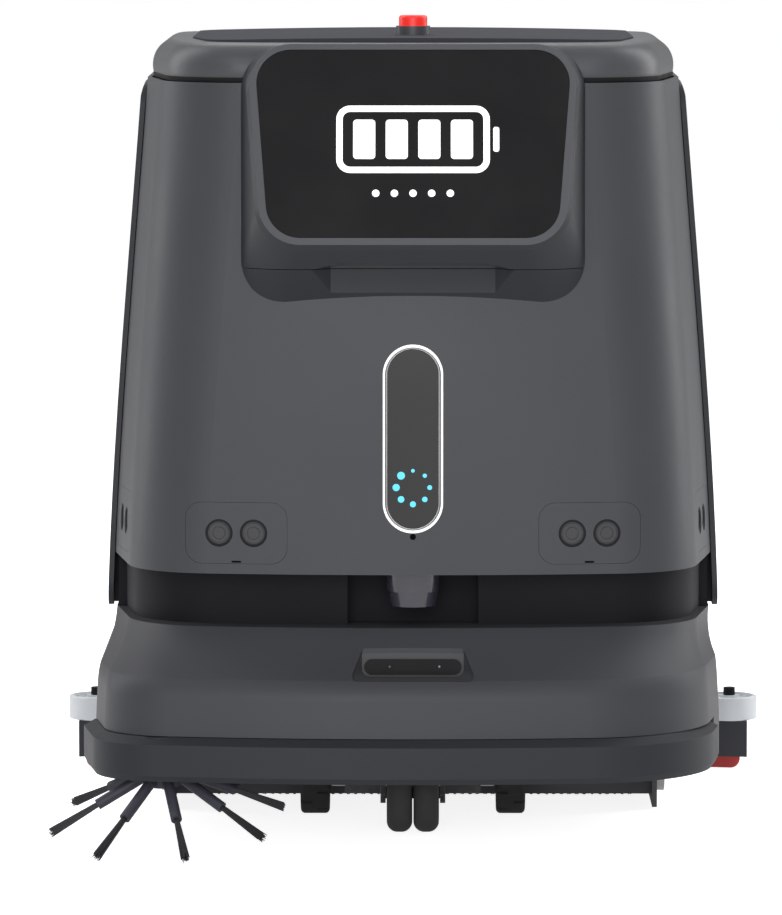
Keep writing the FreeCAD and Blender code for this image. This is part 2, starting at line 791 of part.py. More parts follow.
def screen_parts():
    head = head_form(0)
    lid_solid = lid_form()
    housing = head.cut(below(HEAD_PARTING + SEAM)).cut(lid_solid)
    recess = prism(screen_wire(BEZEL_WIDTH, BEZEL_TOP), screen_normal() * -BEZEL_DEPTH)
    glass_hole = prism(screen_wire(0, GLASS_TOP), screen_normal() * -BEZEL_DEPTH)
    housing = housing.cut(recess).cut(scoop())
    bezel = recess.cut(glass_hole).cut(lid_solid)
    glass = prism(screen_wire(-SEAT, GLASS_TOP - SEAT), screen_normal() * -GLASS_THICKNESS)
    glass.translate(screen_normal() * (GLASS_THICKNESS - BEZEL_DEPTH))
    chin = head.common(below(HEAD_PARTING)).cut(BODY).cut(scoop())
    export(housing, "screen_housing")
    export(bezel, "screen_bezel")
    export(glass, "screen_glass")
    export(chin, "screen_chin")


def cheek_panel_wire(grow):
    """Panel outline on the right-hand flared cheek, with its outward direction."""
    flare = math.radians(CHEEK_FLARE)
    along = V(math.sin(flare), math.cos(flare), 0)
    outward = V(math.cos(flare), -math.sin(flare), 0)
    up = V(0, 0, 1)
    centre = cheek_point(SONAR_SIDE_Y, SONAR_Z) - outward * CUT_MARGIN
    half = SONAR_PANEL_WIDTH / 2 + grow
    rise = SONAR_PANEL_HEIGHT / 2 + grow
    corners = [centre - along * half - up * rise, centre + along * half - up * rise,
               centre + along * half + up * rise, centre - along * half + up * rise]
    return rounded_polygon(corners, SONAR_PANEL_CORNER + grow), outward


def cheek_point(y, z):
    """Point on the right-hand cheek at a depth and height."""
    share = (z - SHELL_BOTTOM) / (SHELL_MIDDLE - SHELL_BOTTOM)
    half = UPPER_HALF + share * (UPPER_HALF_MIDDLE - UPPER_HALF)
    return V(half + (y - UPPER_SHOULDER) * math.tan(math.radians(CHEEK_FLARE)), y, z)


def front_panel_prism(grow):
    half = SONAR_PANEL_WIDTH / 2 + grow
    rise = SONAR_PANEL_HEIGHT / 2 + grow
    y = UPPER_FRONT - CUT_MARGIN
    corners = [V(SONAR_PANEL_X - half, y, SONAR_Z - rise), V(SONAR_PANEL_X + half, y, SONAR_Z - rise),
               V(SONAR_PANEL_X + half, y, SONAR_Z + rise), V(SONAR_PANEL_X - half, y, SONAR_Z + rise)]
    return prism(rounded_polygon(corners, SONAR_PANEL_CORNER + grow), V(0, 4 * CUT_MARGIN, 0))


def cheek_panel_prism(grow):
    wire, outward = cheek_panel_wire(grow)
    return prism(wire, outward * 2 * CUT_MARGIN)


def sonar_spots():
    """Place and outward direction of the right-hand transducers."""
    spots = []
    for step in (-0.5, 0.5):
        x = SONAR_PANEL_X + step * SONAR_PITCH
        turn = math.asin(x / FRONT_BOW)
        y = front_y(SONAR_Z) + FRONT_BOW * (1 - math.cos(turn))
        spots.append((V(x, y, SONAR_Z), V(math.sin(turn), -math.cos(turn), 0)))
        flare = math.radians(CHEEK_FLARE)
        cheek = cheek_point(SONAR_SIDE_Y + step * SONAR_PITCH, SONAR_Z)
        spots.append((cheek, V(math.cos(flare), -math.sin(flare), 0)))
    return spots


def transducer(place, outward):
    """Round ultrasonic transducer with concentric grooves, recessed in its panel."""
    face = place - outward * SONAR_RECESS
    radius = SONAR_RADIUS - SEAT
    body = Part.makeCylinder(radius, SONAR_DEPTH, face - outward * SONAR_DEPTH, outward)
    for share in SONAR_GROOVE_SHARES:
        groove = ring_of(radius * share, radius * share - SONAR_GROOVE, SONAR_GROOVE,
                         face - outward * SONAR_GROOVE, outward)
        body = body.cut(groove)
    return body


def shell_parts():
    shell = upper_shell()
    spots = sonar_spots()
    holes = [Part.makeCylinder(SONAR_RADIUS, 3 * CUT_MARGIN, place - way * 2 * CUT_MARGIN, way)
             for place, way in spots]
    panels = []
    for maker in (front_panel_prism, cheek_panel_prism):
        panel = maker(0).common(shell)
        for hole in holes:
            panel = panel.cut(hole)
        panels.append(panel)
    cuts = []
    for maker in (front_panel_prism, cheek_panel_prism):
        cuts.append(maker(PANEL_GAP))
        cuts.append(mirrored(maker(PANEL_GAP)))
    face = UPPER_FRONT - CUT_MARGIN
    outer_ring = stadium(RING_HALF, RING_BOTTOM, RING_TOP, face, 3 * CUT_MARGIN)
    inner_ring = stadium(RING_HALF - RING_WIDTH, RING_BOTTOM + RING_WIDTH, RING_TOP - RING_WIDTH, face,
                         3 * CUT_MARGIN)
    cuts.append(outer_ring)
    cuts.append(head_form(HEAD_CLEARANCE).cut(below(HEAD_PARTING)))
    shell = shell.cut(cuts)
    front = shell.common(in_front(SHELL_SPLIT))
    rear = shell.common(behind(SHELL_SPLIT + SEAM))
    inner = HINGE_LENGTH / 2 + SEAT
    lug_length = HINGE_LENGTH / 2
    for side in (-1, 1):
        for start in (side * HINGE_X - inner - lug_length, side * HINGE_X + inner):
            lug = hinge_lug(start, start + lug_length, UPPER_REAR_TOP - WALL / 2,
                            HINGE_Z - 2 * HINGE_BARREL_RADIUS, HINGE_Z, HINGE_PIN_RADIUS)
            rear = rear.fuse(lug.cut(BODY_INSIDE))
    ring = outer_ring.cut(inner_ring).common(body_form(-RING_PROUD)).cut(BODY_INSIDE)
    light_panel = inner_ring.common(body_form(LIGHT_PANEL_RECESS)).cut(BODY_INSIDE)
    export(front, "front_shell")
    export(rear.removeSplitter(), "rear_cover")
    export(ring, "light_ring")
    export(light_panel, "light_panel")
    export(group([both_sides(panel) for panel in panels]), "sonar_panels")
    export(group([both_sides(transducer(place, way)) for place, way in spots]), "sonar_transducers")
    pin_length = HINGE_LENGTH + 2 * (SEAT + lug_length)
    pins = []
    for side in (-1, 1):
        start = side * HINGE_X - pin_length / 2
        pins.append(rod(HINGE_PIN_RADIUS, start, start + pin_length, HINGE_Y, HINGE_Z))
    export(group(pins), "hinge_pins")
    cover = side_cover()
    export(cover, "side_cover_right")
    export(mirrored(cover), "side_cover_left")


def neck_parts():
    height = SHELL_BOTTOM - HOOD_TOP
    outer = prism(NECK_PLAN.wire(HOOD_TOP), V(0, 0, height))
    inner = prism(NECK_PLAN.wire(HOOD_TOP, NECK_WALL), V(0, 0, height))
    reach = UPPER_FRONT - CUT_MARGIN
    pocket = box(-POCKET_HALF, POCKET_HALF, reach, POCKET_BACK, HOOD_TOP, SHELL_BOTTOM)
    grown = box(-POCKET_HALF - NECK_WALL, POCKET_HALF + NECK_WALL, reach, POCKET_BACK + NECK_WALL,
                HOOD_TOP, SHELL_BOTTOM)
    wall = outer.cut(pocket).cut(inner.cut(grown))
    block = box(NECK_HALF - NECK_WALL, NECK_BLOCK_HALF, NECK_BLOCK_FRONT, NECK_BLOCK_REAR, HOOD_TOP,
                SHELL_BOTTOM)
    export(fused(wall, block, mirrored(block)), "neck")
    joint = SHELL_BOTTOM - SCANNER_BAND
    window = Part.makeCone(SCANNER_RADIUS - SCANNER_TAPER, SCANNER_RADIUS, SCANNER_BAND,
                           V(0, SCANNER_Y, joint))
    ring_radius = SCANNER_RADIUS - SCANNER_RING_STEP
    cap = Part.makeCone(ring_radius - SCANNER_RING_TAPER, ring_radius, SCANNER_RING,
                        V(0, SCANNER_Y, joint - SCANNER_RING))
    export(window, "scanner_window")
    export(cap, "scanner_cap")


def hood_profile():
    """Outlines and heights down the hood: rim, cove, crease arc in three steps, and skirt."""

    def height(high, low, share):
        return high + share * (low - high)

    slope_end = HOOD_RIM.towards(HOOD_CREASE, CREASE_SLOPE_SHARE)
    slope_end_z = height(HOOD_TOP, CREASE_HEIGHT, CREASE_SLOPE_SHARE)
    skirt_start = HOOD_CREASE.towards(HOOD_SKIRT, CREASE_SKIRT_SHARE)
    skirt_start_z = height(CREASE_HEIGHT, BUMPER_TOP, CREASE_SKIRT_SHARE)
    chord = slope_end.towards(skirt_start, 0.5)
    chord_z = (slope_end_z + skirt_start_z) / 2
    return [
        (HOOD_RIM, HOOD_TOP),
        (HOOD_RIM.towards(slope_end, 0.5, HOOD_COVE), (HOOD_TOP + slope_end_z) / 2),
        (slope_end, slope_end_z),
        (chord.towards(HOOD_CREASE, 0.5), (chord_z + CREASE_HEIGHT) / 2),
        (skirt_start, skirt_start_z),
        (HOOD_SKIRT, BUMPER_TOP),
        (HOOD_SKIRT, BODY_BOTTOM),
    ]


def hood_outside():
    wires = [outline.wire(z) for outline, z in hood_profile()]
    return fused(loft(wires[:3]), loft(wires[2:5]), loft(wires[4:], True))


def hood_inside():
    profile = hood_profile()
    rim, rim_z = profile[0]
    foot, foot_z = profile[-1]
    wires = [rim.wire(rim_z - WALL, WALL)]
    for outline, z in profile[1:3]:
        wires.append(outline.wire(z - WALL / 2, WALL))
    for outline, z in profile[4:6]:
        wires.append(outline.wire(z, WALL))
    wires.append(foot.wire(foot_z - WALL, WALL))
    return loft(wires, True)


def camera_mouth():
    """Flared mouth of the camera pocket with round corners, cut through the sloping hood."""
    back = CAMERA_WIDTH / 2 + CAMERA_MARGIN
    low = CAMERA_Z - CAMERA_HEIGHT / 2 - CAMERA_MARGIN
    wires = []
    for half, y in ((back, CAMERA_FACE), (back + CAMERA_POCKET_FLARE, CREASE_FRONT)):
        corners = [V(-half, y, low), V(half, y, low), V(half, y, CAMERA_POCKET_TOP),
                   V(-half, y, CAMERA_POCKET_TOP)]
        wires.append(rounded_polygon(corners, CAMERA_POCKET_ROUND))
    return loft(wires, True)


def squeegee_rail(side):
    """Fixed guide rail on the back of the hood, with a lip behind the mast plate."""
    inner = MAST_HALF + SEAT
    post = box(inner, inner + RAIL_WIDTH, HOOD_REAR, HOOD_REAR + rail_depth(), RAIL_LOW, RAIL_HIGH)
    lip = box(inner - RAIL_WIDTH, inner + RAIL_WIDTH, HOOD_REAR + rail_depth(),
              HOOD_REAR + rail_depth() + RAIL_LIP, RAIL_LOW, RAIL_HIGH)
    rail = post.fuse(lip)
    return rail if side > 0 else mirrored(rail)


def rail_depth():
    return MAST_THICKNESS + 2 * SEAT


def hood_parts():
    inside = hood_inside()
    hood = hood_outside().cut(inside)
    bay_end = BUMPER_END + BUMPER_TRAVEL + BUMPER_BAY_GAP
    hood = hood.cut(in_front(bay_end).common(below(BUMPER_TOP + BUMPER_GAP)))
    mouth = camera_mouth()
    hood = hood.cut(mouth)
    port = SUCTION_RADIUS + SUCTION_ROOM
    hood = hood.cut(box(-port, port, HOOD_REAR - CUT_MARGIN, HOOD_REAR + CUT_MARGIN, SUCTION_TOP - port,
                        SUCTION_TOP + port + SQUEEGEE_LIFT))
    hood = fused(hood, squeegee_rail(1), squeegee_rail(-1))
    export(hood, "lower_hood")
    low = CAMERA_Z - CAMERA_HEIGHT / 2
    high = CAMERA_Z + CAMERA_HEIGHT / 2
    half = CAMERA_WIDTH / 2 + CAMERA_POCKET_FLARE + CAMERA_POCKET_WALL
    block = box(-half, half, CREASE_FRONT, CAMERA_FACE + CAMERA_POCKET_WALL,
                low - CAMERA_MARGIN - CAMERA_POCKET_WALL, CAMERA_POCKET_TOP + CAMERA_POCKET_WALL)
    export(block.common(inside).cut(mouth), "camera_pocket")
    y = CAMERA_FACE - CAMERA_DEPTH
    width = CAMERA_WIDTH / 2
    corners = [V(-width, y, low), V(width, y, low), V(width, y, high), V(-width, y, high)]
    window = prism(rounded_polygon(corners, CAMERA_HEIGHT / 2 - ROUND_SLACK), V(0, CAMERA_DEPTH, 0))
    export(window, "camera_window")
    contacts = box(CONTACT_X - CONTACT_WIDTH / 2, CONTACT_X + CONTACT_WIDTH / 2, HOOD_REAR,
                   HOOD_REAR + CONTACT_THICKNESS, CONTACT_Z - CONTACT_HEIGHT / 2,
                   CONTACT_Z + CONTACT_HEIGHT / 2)
    export(both_sides(contacts), "charge_contacts")


def guide_pin(radius, y_end):
    """Sliding pin behind the bumper, starting inside the bumper's wall."""
    sag = FRONT_BOW - math.sqrt(FRONT_BOW ** 2 - (GUIDE_X + GUIDE_RADIUS) ** 2)
    start = BUMPER_FRONT + sag + GUIDE_ROOT
    return Part.makeCylinder(radius, y_end - start, V(GUIDE_X, start, GUIDE_Z), V(0, 1, 0))


def brush_motor_room():
    """Relief in the bumper's lip for the side-brush motor, over the bumper's whole travel."""
    half = BRUSH_MOTOR_RADIUS + BRUSH_MOTOR_ROOM
    front = -half - BUMPER_TRAVEL
    low = BRUSH_HUB_HIGH
    corners = [V(-half, front, low), V(half, front, low), V(half, half, low), V(-half, half, low)]
    room = prism(rounded_polygon(corners, half - ROUND_SLACK), V(0, 0, 2 * BRUSH_MOTOR_HEIGHT))
    room.Placement = brush_place()
    return room


def bumper_parts():
    outer = loft([BUMPER_PLAN.wire(BUMPER_TOP, BUMPER_BEVEL),
                  BUMPER_PLAN.wire(BUMPER_TOP - BUMPER_BEVEL_HEIGHT),
                  BUMPER_PLAN.wire(BODY_BOTTOM + BUMPER_WALL),
                  BUMPER_PLAN.wire(BODY_BOTTOM, BUMPER_WALL / 2)], True)
    foot = BODY_BOTTOM - BUMPER_WALL
    hollow = prism(BUMPER_PLAN.wire(foot, BUMPER_WALL), V(0, 0, BUMPER_TOP - BODY_BOTTOM))
    open_plan = prism(BUMPER_PLAN.wire(foot, BUMPER_LIP), V(0, 0, BUMPER_TOP))
    bumper = outer.cut(hollow).cut(open_plan).common(in_front(BUMPER_END))
    bumper = bumper.cut(brush_motor_room())
    pin = guide_pin(GUIDE_RADIUS, GUIDE_FLANGE_Y + 3 * BUMPER_TRAVEL)
    export(fused(bumper, pin, mirrored(pin)), "bumper")


def plate_top():
    return PLATE_BOTTOM + PLATE_THICKNESS


def caster_stem(place, grow):
    """Stem hole if grow is positive, otherwise the stem itself."""
    base = V(place.x, place.y, PLATE_BOTTOM - SEAT)
    return Part.makeCylinder(CASTER_STEM_RADIUS + grow, PLATE_THICKNESS + SEAT + CASTER_STEM_TOP, base)


def drive_motor_form():
    outer = DRIVE_X - DRIVE_WIDTH / 2 - DRIVE_GAP
    return rod(DRIVE_MOTOR_RADIUS, outer - DRIVE_MOTOR_LENGTH, outer, DRIVE_Y, DRIVE_RADIUS)


def drive_bracket():
    """Right-hand saddle under the plate that grips the drive motor."""
    outer = DRIVE_X - DRIVE_WIDTH / 2 - DRIVE_GAP
    reach = DRIVE_MOTOR_RADIUS + DRIVE_SADDLE_WALL
    saddle = box(outer - DRIVE_MOTOR_LENGTH + DRIVE_SADDLE_INSET, outer - DRIVE_SADDLE_INSET, DRIVE_Y - reach,
                 DRIVE_Y + reach, DRIVE_RADIUS - reach + DRIVE_SADDLE_OPEN, PLATE_BOTTOM)
    return saddle.cut(drive_motor_form())


def deck_bridge():
    """Right-hand bridge over the scrub deck that guides its lift rod."""
    top = DECK_BRIDGE_Z + DECK_BRIDGE_THICKNESS
    front = DECK_FRONT - DECK_BRIDGE_MARGIN
    rear = DECK_REAR + DECK_BRIDGE_MARGIN
    inner = DECK_ROD_X - DECK_BRIDGE_HALF
    outer = DECK_ROD_X + DECK_BRIDGE_HALF
    beam = box(inner, outer, front, rear, DECK_BRIDGE_Z, top)
    legs = [box(inner, outer, y, y + DECK_BRIDGE_THICKNESS, plate_top(), top)
            for y in (front, rear - DECK_BRIDGE_THICKNESS)]
    hole = Part.makeCylinder(DECK_ROD_RADIUS + RUNNING, top, V(DECK_ROD_X, ROLLER_Y, plate_top()))
    return beam.fuse(legs).cut(hole)


def chassis_parts():
    front_plan = prism(BUMPER_PLAN.wire(PLATE_BOTTOM, PLATE_INSET), V(0, 0, PLATE_THICKNESS))
    wide_plan = prism(HOOD_SKIRT.wire(PLATE_BOTTOM, WALL + SEAT), V(0, 0, PLATE_THICKNESS))
    wide_plan = wide_plan.common(behind(BUMPER_END + BUMPER_TRAVEL + PLATE_GAP))
    plate = front_plan.fuse(wide_plan)
    slot_half = DRIVE_WIDTH / 2 + DRIVE_GAP
    slot = box(DRIVE_X - slot_half, DRIVE_X + slot_half, DRIVE_Y - DRIVE_RADIUS - DRIVE_ARCH_GAP, DECK_FRONT,
               0, SHELL_BOTTOM)
    deck_half = DECK_HALF + SKIRT_THICKNESS + BEARING_CAP_THICKNESS + DECK_GAP
    deck_hole = box(-deck_half, deck_half, DECK_FRONT - DECK_GAP, DECK_REAR + DECK_GAP, 0, SHELL_BOTTOM)
    brush_hole = Part.makeCylinder(BRUSH_PLATE_HOLE, SHELL_BOTTOM, V(0, 0, 0))
    brush_hole.Placement = brush_place()
    cuts = [slot, mirrored(slot), deck_hole, brush_hole]
    for place in caster_places():
        cuts.append(caster_stem(place, RUNNING))
    plate = plate.cut(cuts)
    flange_half = GUIDE_X + GUIDE_FLANGE_MARGIN
    flange = box(-flange_half, flange_half, GUIDE_FLANGE_Y, GUIDE_FLANGE_Y + GUIDE_FLANGE_THICKNESS,
                 plate_top(), plate_top() + GUIDE_FLANGE_HEIGHT)
    hole = guide_pin(GUIDE_RADIUS + RUNNING, 0)
    flange = flange.cut([hole, mirrored(hole)])
    extras = [flange]
    for maker in (drive_bracket, deck_bridge):
        extras.append(maker())
        extras.append(mirrored(maker()))
    export(fused(plate, *extras), "chassis_plate")


def caster_places():
    """Pivot points of the front caster and the two rear casters."""
    return [V(0, CASTER_PIVOT_Y, 0), V(REAR_CASTER_X, REAR_CASTER_Y, 0), V(-REAR_CASTER_X, REAR_CASTER_Y, 0)]


def caster_fork(pivot, trail, wheel_radius, inner, leg, axle_radius):
    """Swivel fork: stem, retaining collar, crown, two slanted legs and the axle."""
    top = PLATE_BOTTOM - SEAT
    crown_low = top - CASTER_CROWN
    outer = inner + leg
    foot = axle_radius + CASTER_FOOT
    axle_y = pivot.y + trail
    front = pivot.y - CASTER_REACH
    rear = pivot.y + CASTER_REACH
    crown = box(pivot.x - outer, pivot.x + outer, front, rear, crown_low, top)
    pieces = [caster_stem(pivot, 0)]
    collar_base = V(pivot.x, pivot.y, plate_top() + SEAT)
    pieces.append(Part.makeCylinder(CASTER_STEM_RADIUS + CASTER_COLLAR, CASTER_COLLAR_HEIGHT, collar_base))
    for start in (pivot.x - outer, pivot.x + inner):
        corners = [V(start, front, crown_low), V(start, rear, crown_low),
                   V(start, axle_y + foot, wheel_radius), V(start, axle_y - foot, wheel_radius)]
        pieces.append(prism(Part.makePolygon(corners + corners[:1]), V(leg, 0, 0)))
        pieces.append(rod(foot, start, start + leg, axle_y, wheel_radius))
    pieces.append(rod(axle_radius, pivot.x - outer, pivot.x + outer, axle_y, wheel_radius))
    return fused(crown, *pieces)


def caster_wheel(x0, width, y, radius, axle_radius, round_edge):
    """Wheel with a rounded tyre and dished sides, bored for its axle."""
    wheel = rod(radius, x0, x0 + width, y, radius)
    rims = [edge for edge in wheel.Edges if edge.Closed]
    wheel = wheel.makeFillet(round_edge, rims)
    dish = radius - round_edge - WHEEL_RIM
    for start in (x0, x0 + width - WHEEL_DISH):
        wheel = wheel.cut(ring_of(dish, axle_radius + WHEEL_HUB, WHEEL_DISH, V(start, y, radius), V(1, 0, 0)))
    return wheel.cut(rod(axle_radius + RUNNING, x0, x0 + width, y, radius))


def caster_parts():
    inner = CASTER_WHEEL_WIDTH + 1.5 * CASTER_WHEEL_GAP
    pivot = V(0, CASTER_PIVOT_Y, 0)
    export(caster_fork(pivot, CASTER_TRAIL, CASTER_RADIUS, inner, CASTER_FORK_THICKNESS,
                       CASTER_AXLE_RADIUS), "caster_fork")
    right = caster_wheel(CASTER_WHEEL_GAP / 2, CASTER_WHEEL_WIDTH, CASTER_PIVOT_Y + CASTER_TRAIL,
                         CASTER_RADIUS, CASTER_AXLE_RADIUS, CASTER_WHEEL_ROUND)
    export(right, "caster_wheel_right")
    export(mirrored(right), "caster_wheel_left")
    rear_inner = REAR_CASTER_WIDTH / 2 + CASTER_WHEEL_GAP
    rear_pivot = V(REAR_CASTER_X, REAR_CASTER_Y, 0)
    fork = caster_fork(rear_pivot, REAR_CASTER_TRAIL, REAR_CASTER_RADIUS, rear_inner, REAR_CASTER_FORK,
                       REAR_CASTER_AXLE)
    wheel = caster_wheel(REAR_CASTER_X - REAR_CASTER_WIDTH / 2, REAR_CASTER_WIDTH,
                         REAR_CASTER_Y + REAR_CASTER_TRAIL, REAR_CASTER_RADIUS, REAR_CASTER_AXLE,
                         REAR_CASTER_ROUND)
    export(fork, "rear_caster_fork_right")
    export(mirrored(fork), "rear_caster_fork_left")
    export(wheel, "rear_caster_wheel_right")
    export(mirrored(wheel), "rear_caster_wheel_left")


def drive_parts():
    start = DRIVE_X - DRIVE_WIDTH / 2
    end = DRIVE_X + DRIVE_WIDTH / 2
    tyre = rod(DRIVE_RADIUS, start, end, DRIVE_Y, DRIVE_RADIUS)
    tyre = tyre.makeFillet(DRIVE_ROUND, [edge for edge in tyre.Edges if edge.Closed])
    tyre = tyre.cut(rod(DRIVE_HUB_RADIUS, start, end, DRIVE_Y, DRIVE_RADIUS))
    notches = []
    width = DRIVE_WIDTH * TREAD_SHARE
    crown = 2 * DRIVE_RADIUS
    for index in range(TREAD_BLOCKS):
        left = start if index % 2 == 0 else end - width
        notch = box(left, left + width, DRIVE_Y - TREAD_HALF, DRIVE_Y + TREAD_HALF, crown - TREAD_DEPTH,
                    crown + TREAD_DEPTH)
        notch.rotate(V(start, DRIVE_Y, DRIVE_RADIUS), V(1, 0, 0), index * 360 / TREAD_BLOCKS)
        notches.append(notch)
    tyre = tyre.cut(notches)
    hub_end = end - DRIVE_HUB_INSET
    hub = rod(DRIVE_HUB_RADIUS, start + DRIVE_HUB_INSET, hub_end, DRIVE_Y, DRIVE_RADIUS)
    dish = ring_of(DRIVE_HUB_RADIUS - DRIVE_HUB_RIM, DRIVE_HUB_BOSS, DRIVE_HUB_DISH,
                   V(hub_end - DRIVE_HUB_DISH, DRIVE_Y, DRIVE_RADIUS), V(1, 0, 0))
    shaft_start = start - DRIVE_GAP - DRIVE_MOTOR_LENGTH / 2
    shaft = rod(DRIVE_SHAFT_RADIUS, shaft_start, start + DRIVE_SHAFT_GRIP, DRIVE_Y, DRIVE_RADIUS)
    hub = fused(hub.cut(dish), shaft)
    bore = rod(DRIVE_SHAFT_RADIUS + RUNNING, shaft_start - SEAT, start, DRIVE_Y, DRIVE_RADIUS)
    motor = drive_motor_form().cut(bore)
    for shape, name in ((tyre, "drive_tyre"), (hub, "drive_hub")):
        export(shape, name + "_right")
        export(mirrored(shape), name + "_left")
    export(both_sides(motor), "drive_motors")


def brush_place():
    """Frame of the side brush: origin in the plane of its tips, axis leaning forward."""
    lean = FreeCAD.Rotation(V(0, 1, 0), -BRUSH_LEAN_SIDE)
    lean = lean.multiply(FreeCAD.Rotation(V(1, 0, 0), BRUSH_LEAN_FRONT))
    return FreeCAD.Placement(V(BRUSH_X, BRUSH_Y, BRUSH_PLANE_Z), lean)


def arm_point(share, angle):
    """Point on a brush arm, from the apex at share 0 to the tip at share 1."""
    radius = BRUSH_TIP_RADIUS * share
    return V(radius * math.cos(angle), radius * math.sin(angle), BRUSH_APEX * (1 - share))


def brush_strap(turn, low):
    """Flat strap that carries the side-brush motor, turned round the brush axis."""
    half = BRUSH_STRAP_WIDTH / 2
    strap = box(BRUSH_MOTOR_RADIUS - BRUSH_STRAP_ROOT, BRUSH_STRAP_REACH, -half, half, low,
                low + BRUSH_STRAP_THICKNESS)
    strap.rotate(V(0, 0, 0), V(0, 0, 1), turn)
    return strap


def brush_post(turn, low):
    """Upright post from the chassis plate to a strap's end."""
    reach = BRUSH_STRAP_REACH - BRUSH_POST_RADIUS - BRUSH_POST_EDGE
    angle = math.radians(turn)
    spot = brush_place().multVec(V(reach * math.cos(angle), reach * math.sin(angle),
                                   low + BRUSH_STRAP_THICKNESS / 2))
    return Part.makeCylinder(BRUSH_POST_RADIUS, spot.z - plate_top(), V(spot.x, spot.y, plate_top()))


def side_brush_parts():
    base = BRUSH_HUB_HIGH + BRUSH_MOTOR_LIFT
    hub = Part.makeCylinder(BRUSH_HUB_RADIUS, BRUSH_HUB_HIGH - BRUSH_HUB_LOW, V(0, 0, BRUSH_HUB_LOW))
    shaft_top = base + BRUSH_MOTOR_HEIGHT - BRUSH_SHAFT_SHORT
    shaft = Part.makeCylinder(BRUSH_SHAFT_RADIUS, shaft_top - BRUSH_HUB_HIGH, V(0, 0, BRUSH_HUB_HIGH))
    holders = []
    bristles = []
    for index in range(BRUSH_ARMS):
        angle = math.radians(BRUSH_PHASE) + index * 2 * math.pi / BRUSH_ARMS
        root = arm_point(BRUSH_HOLDER_START, angle)
        end = arm_point(BRUSH_HOLDER_SHARE, angle)
        way = end - root
        length = (arm_point(1, angle) - end).Length
        holders.append(Part.makeCylinder(BRUSH_HOLDER_RADIUS, way.Length, root, way))
        bristles.append(Part.makeCone(BRUSH_ROOT_RADIUS, BRUSH_FLARE_RADIUS, length, end, way))
    hub = fused(hub, shaft, *holders)
    motor = Part.makeCylinder(BRUSH_MOTOR_RADIUS, BRUSH_MOTOR_HEIGHT, V(0, 0, base))
    motor = motor.cut(Part.makeCylinder(BRUSH_SHAFT_RADIUS + RUNNING, BRUSH_MOTOR_HEIGHT - BRUSH_MOTOR_CROWN,
                                        V(0, 0, base)))
    strap_low = base + BRUSH_STRAP_RISE
    motor = motor.fuse([brush_strap(turn, strap_low) for turn in BRUSH_STRAP_TURNS])
    place = brush_place()
    for shape in [hub, motor] + bristles:
        shape.Placement = place.multiply(shape.Placement)
    export(hub, "side_brush_hub")
    export(group(bristles), "side_brush_bristles")
    posts = [brush_post(turn, strap_low) for turn in BRUSH_STRAP_TURNS]
    export(fused(motor, *posts), "side_brush_motor")


def deck_housing(bore):
    """Trough over the roller with the two rods on which the deck is lifted."""
    inner_half = DECK_HALF - DECK_WALL
    trough = box(-DECK_HALF, DECK_HALF, DECK_FRONT, DECK_REAR, DECK_LIP, DECK_TOP)
    trough = trough.cut(box(-inner_half, inner_half, DECK_FRONT + DECK_WALL, DECK_REAR - DECK_WALL, 0,
                            DECK_TOP - DECK_WALL))
    rod_top = DECK_BRIDGE_Z + DECK_BRIDGE_THICKNESS + DECK_LIFT + DECK_ROD_SPARE
    rods = [Part.makeCylinder(DECK_ROD_RADIUS, rod_top - DECK_TOP, V(side * DECK_ROD_X, ROLLER_Y, DECK_TOP))
            for side in (-1, 1)]
    return fused(trough.cut(bore), *rods)


def roller_strips(core, half):
    """Rows of bristles round the roller core."""
    strips = []
    for index in range(ROLLER_ROWS):
        strip = box(-half, half, ROLLER_Y - ROLLER_STRIP_HALF, ROLLER_Y + ROLLER_STRIP_HALF,
                    ROLLER_Z + ROLLER_CORE_RADIUS - ROLLER_STRIP_ROOT, ROLLER_Z + ROLLER_TIP_RADIUS)
        strip.rotate(V(0, ROLLER_Y, ROLLER_Z), V(1, 0, 0), index * 360 / ROLLER_ROWS)
        strips.append(strip.cut(core))
    return strips


def deck_parts():
    cap_x = DECK_HALF + SKIRT_THICKNESS
    cap_end = cap_x + BEARING_CAP_THICKNESS
    bore = rod(ROLLER_JOURNAL_RADIUS + RUNNING, -cap_end, cap_end, ROLLER_Y, ROLLER_Z)
    export(deck_housing(bore), "deck_housing")
    skirt = box(DECK_HALF, cap_x, SKIRT_FRONT_Y, SKIRT_REAR_Y, SKIRT_LOW, SKIRT_HIGH)
    export(both_sides(skirt.cut(bore)), "deck_skirts")
    cap = rod(BEARING_CAP_RADIUS, cap_x, cap_end, ROLLER_Y, ROLLER_Z)
    export(both_sides(cap), "roller_end_caps")
    core_half = DECK_HALF - DECK_WALL - ROLLER_CORE_GAP
    core = rod(ROLLER_CORE_RADIUS, -core_half, core_half, ROLLER_Y, ROLLER_Z)
    journal = rod(ROLLER_JOURNAL_RADIUS, SEAT - cap_x, cap_x - SEAT, ROLLER_Y, ROLLER_Z)
    export(fused(core, journal), "roller_core")
    export(group(roller_strips(core, core_half - ROLLER_STRIP_END)), "roller_bristles")
    motor_z = DECK_TOP + DECK_MOTOR_RADIUS
    motor = rod(DECK_MOTOR_RADIUS, -DECK_MOTOR_LENGTH / 2, DECK_MOTOR_LENGTH / 2, ROLLER_Y, motor_z)
    saddle = box(-DECK_MOTOR_LENGTH / 3, DECK_MOTOR_LENGTH / 3, ROLLER_Y - DECK_MOTOR_RADIUS,
                 ROLLER_Y + DECK_MOTOR_RADIUS, DECK_TOP, DECK_TOP + DECK_SADDLE_HEIGHT)
    export(fused(motor, saddle), "deck_motor")


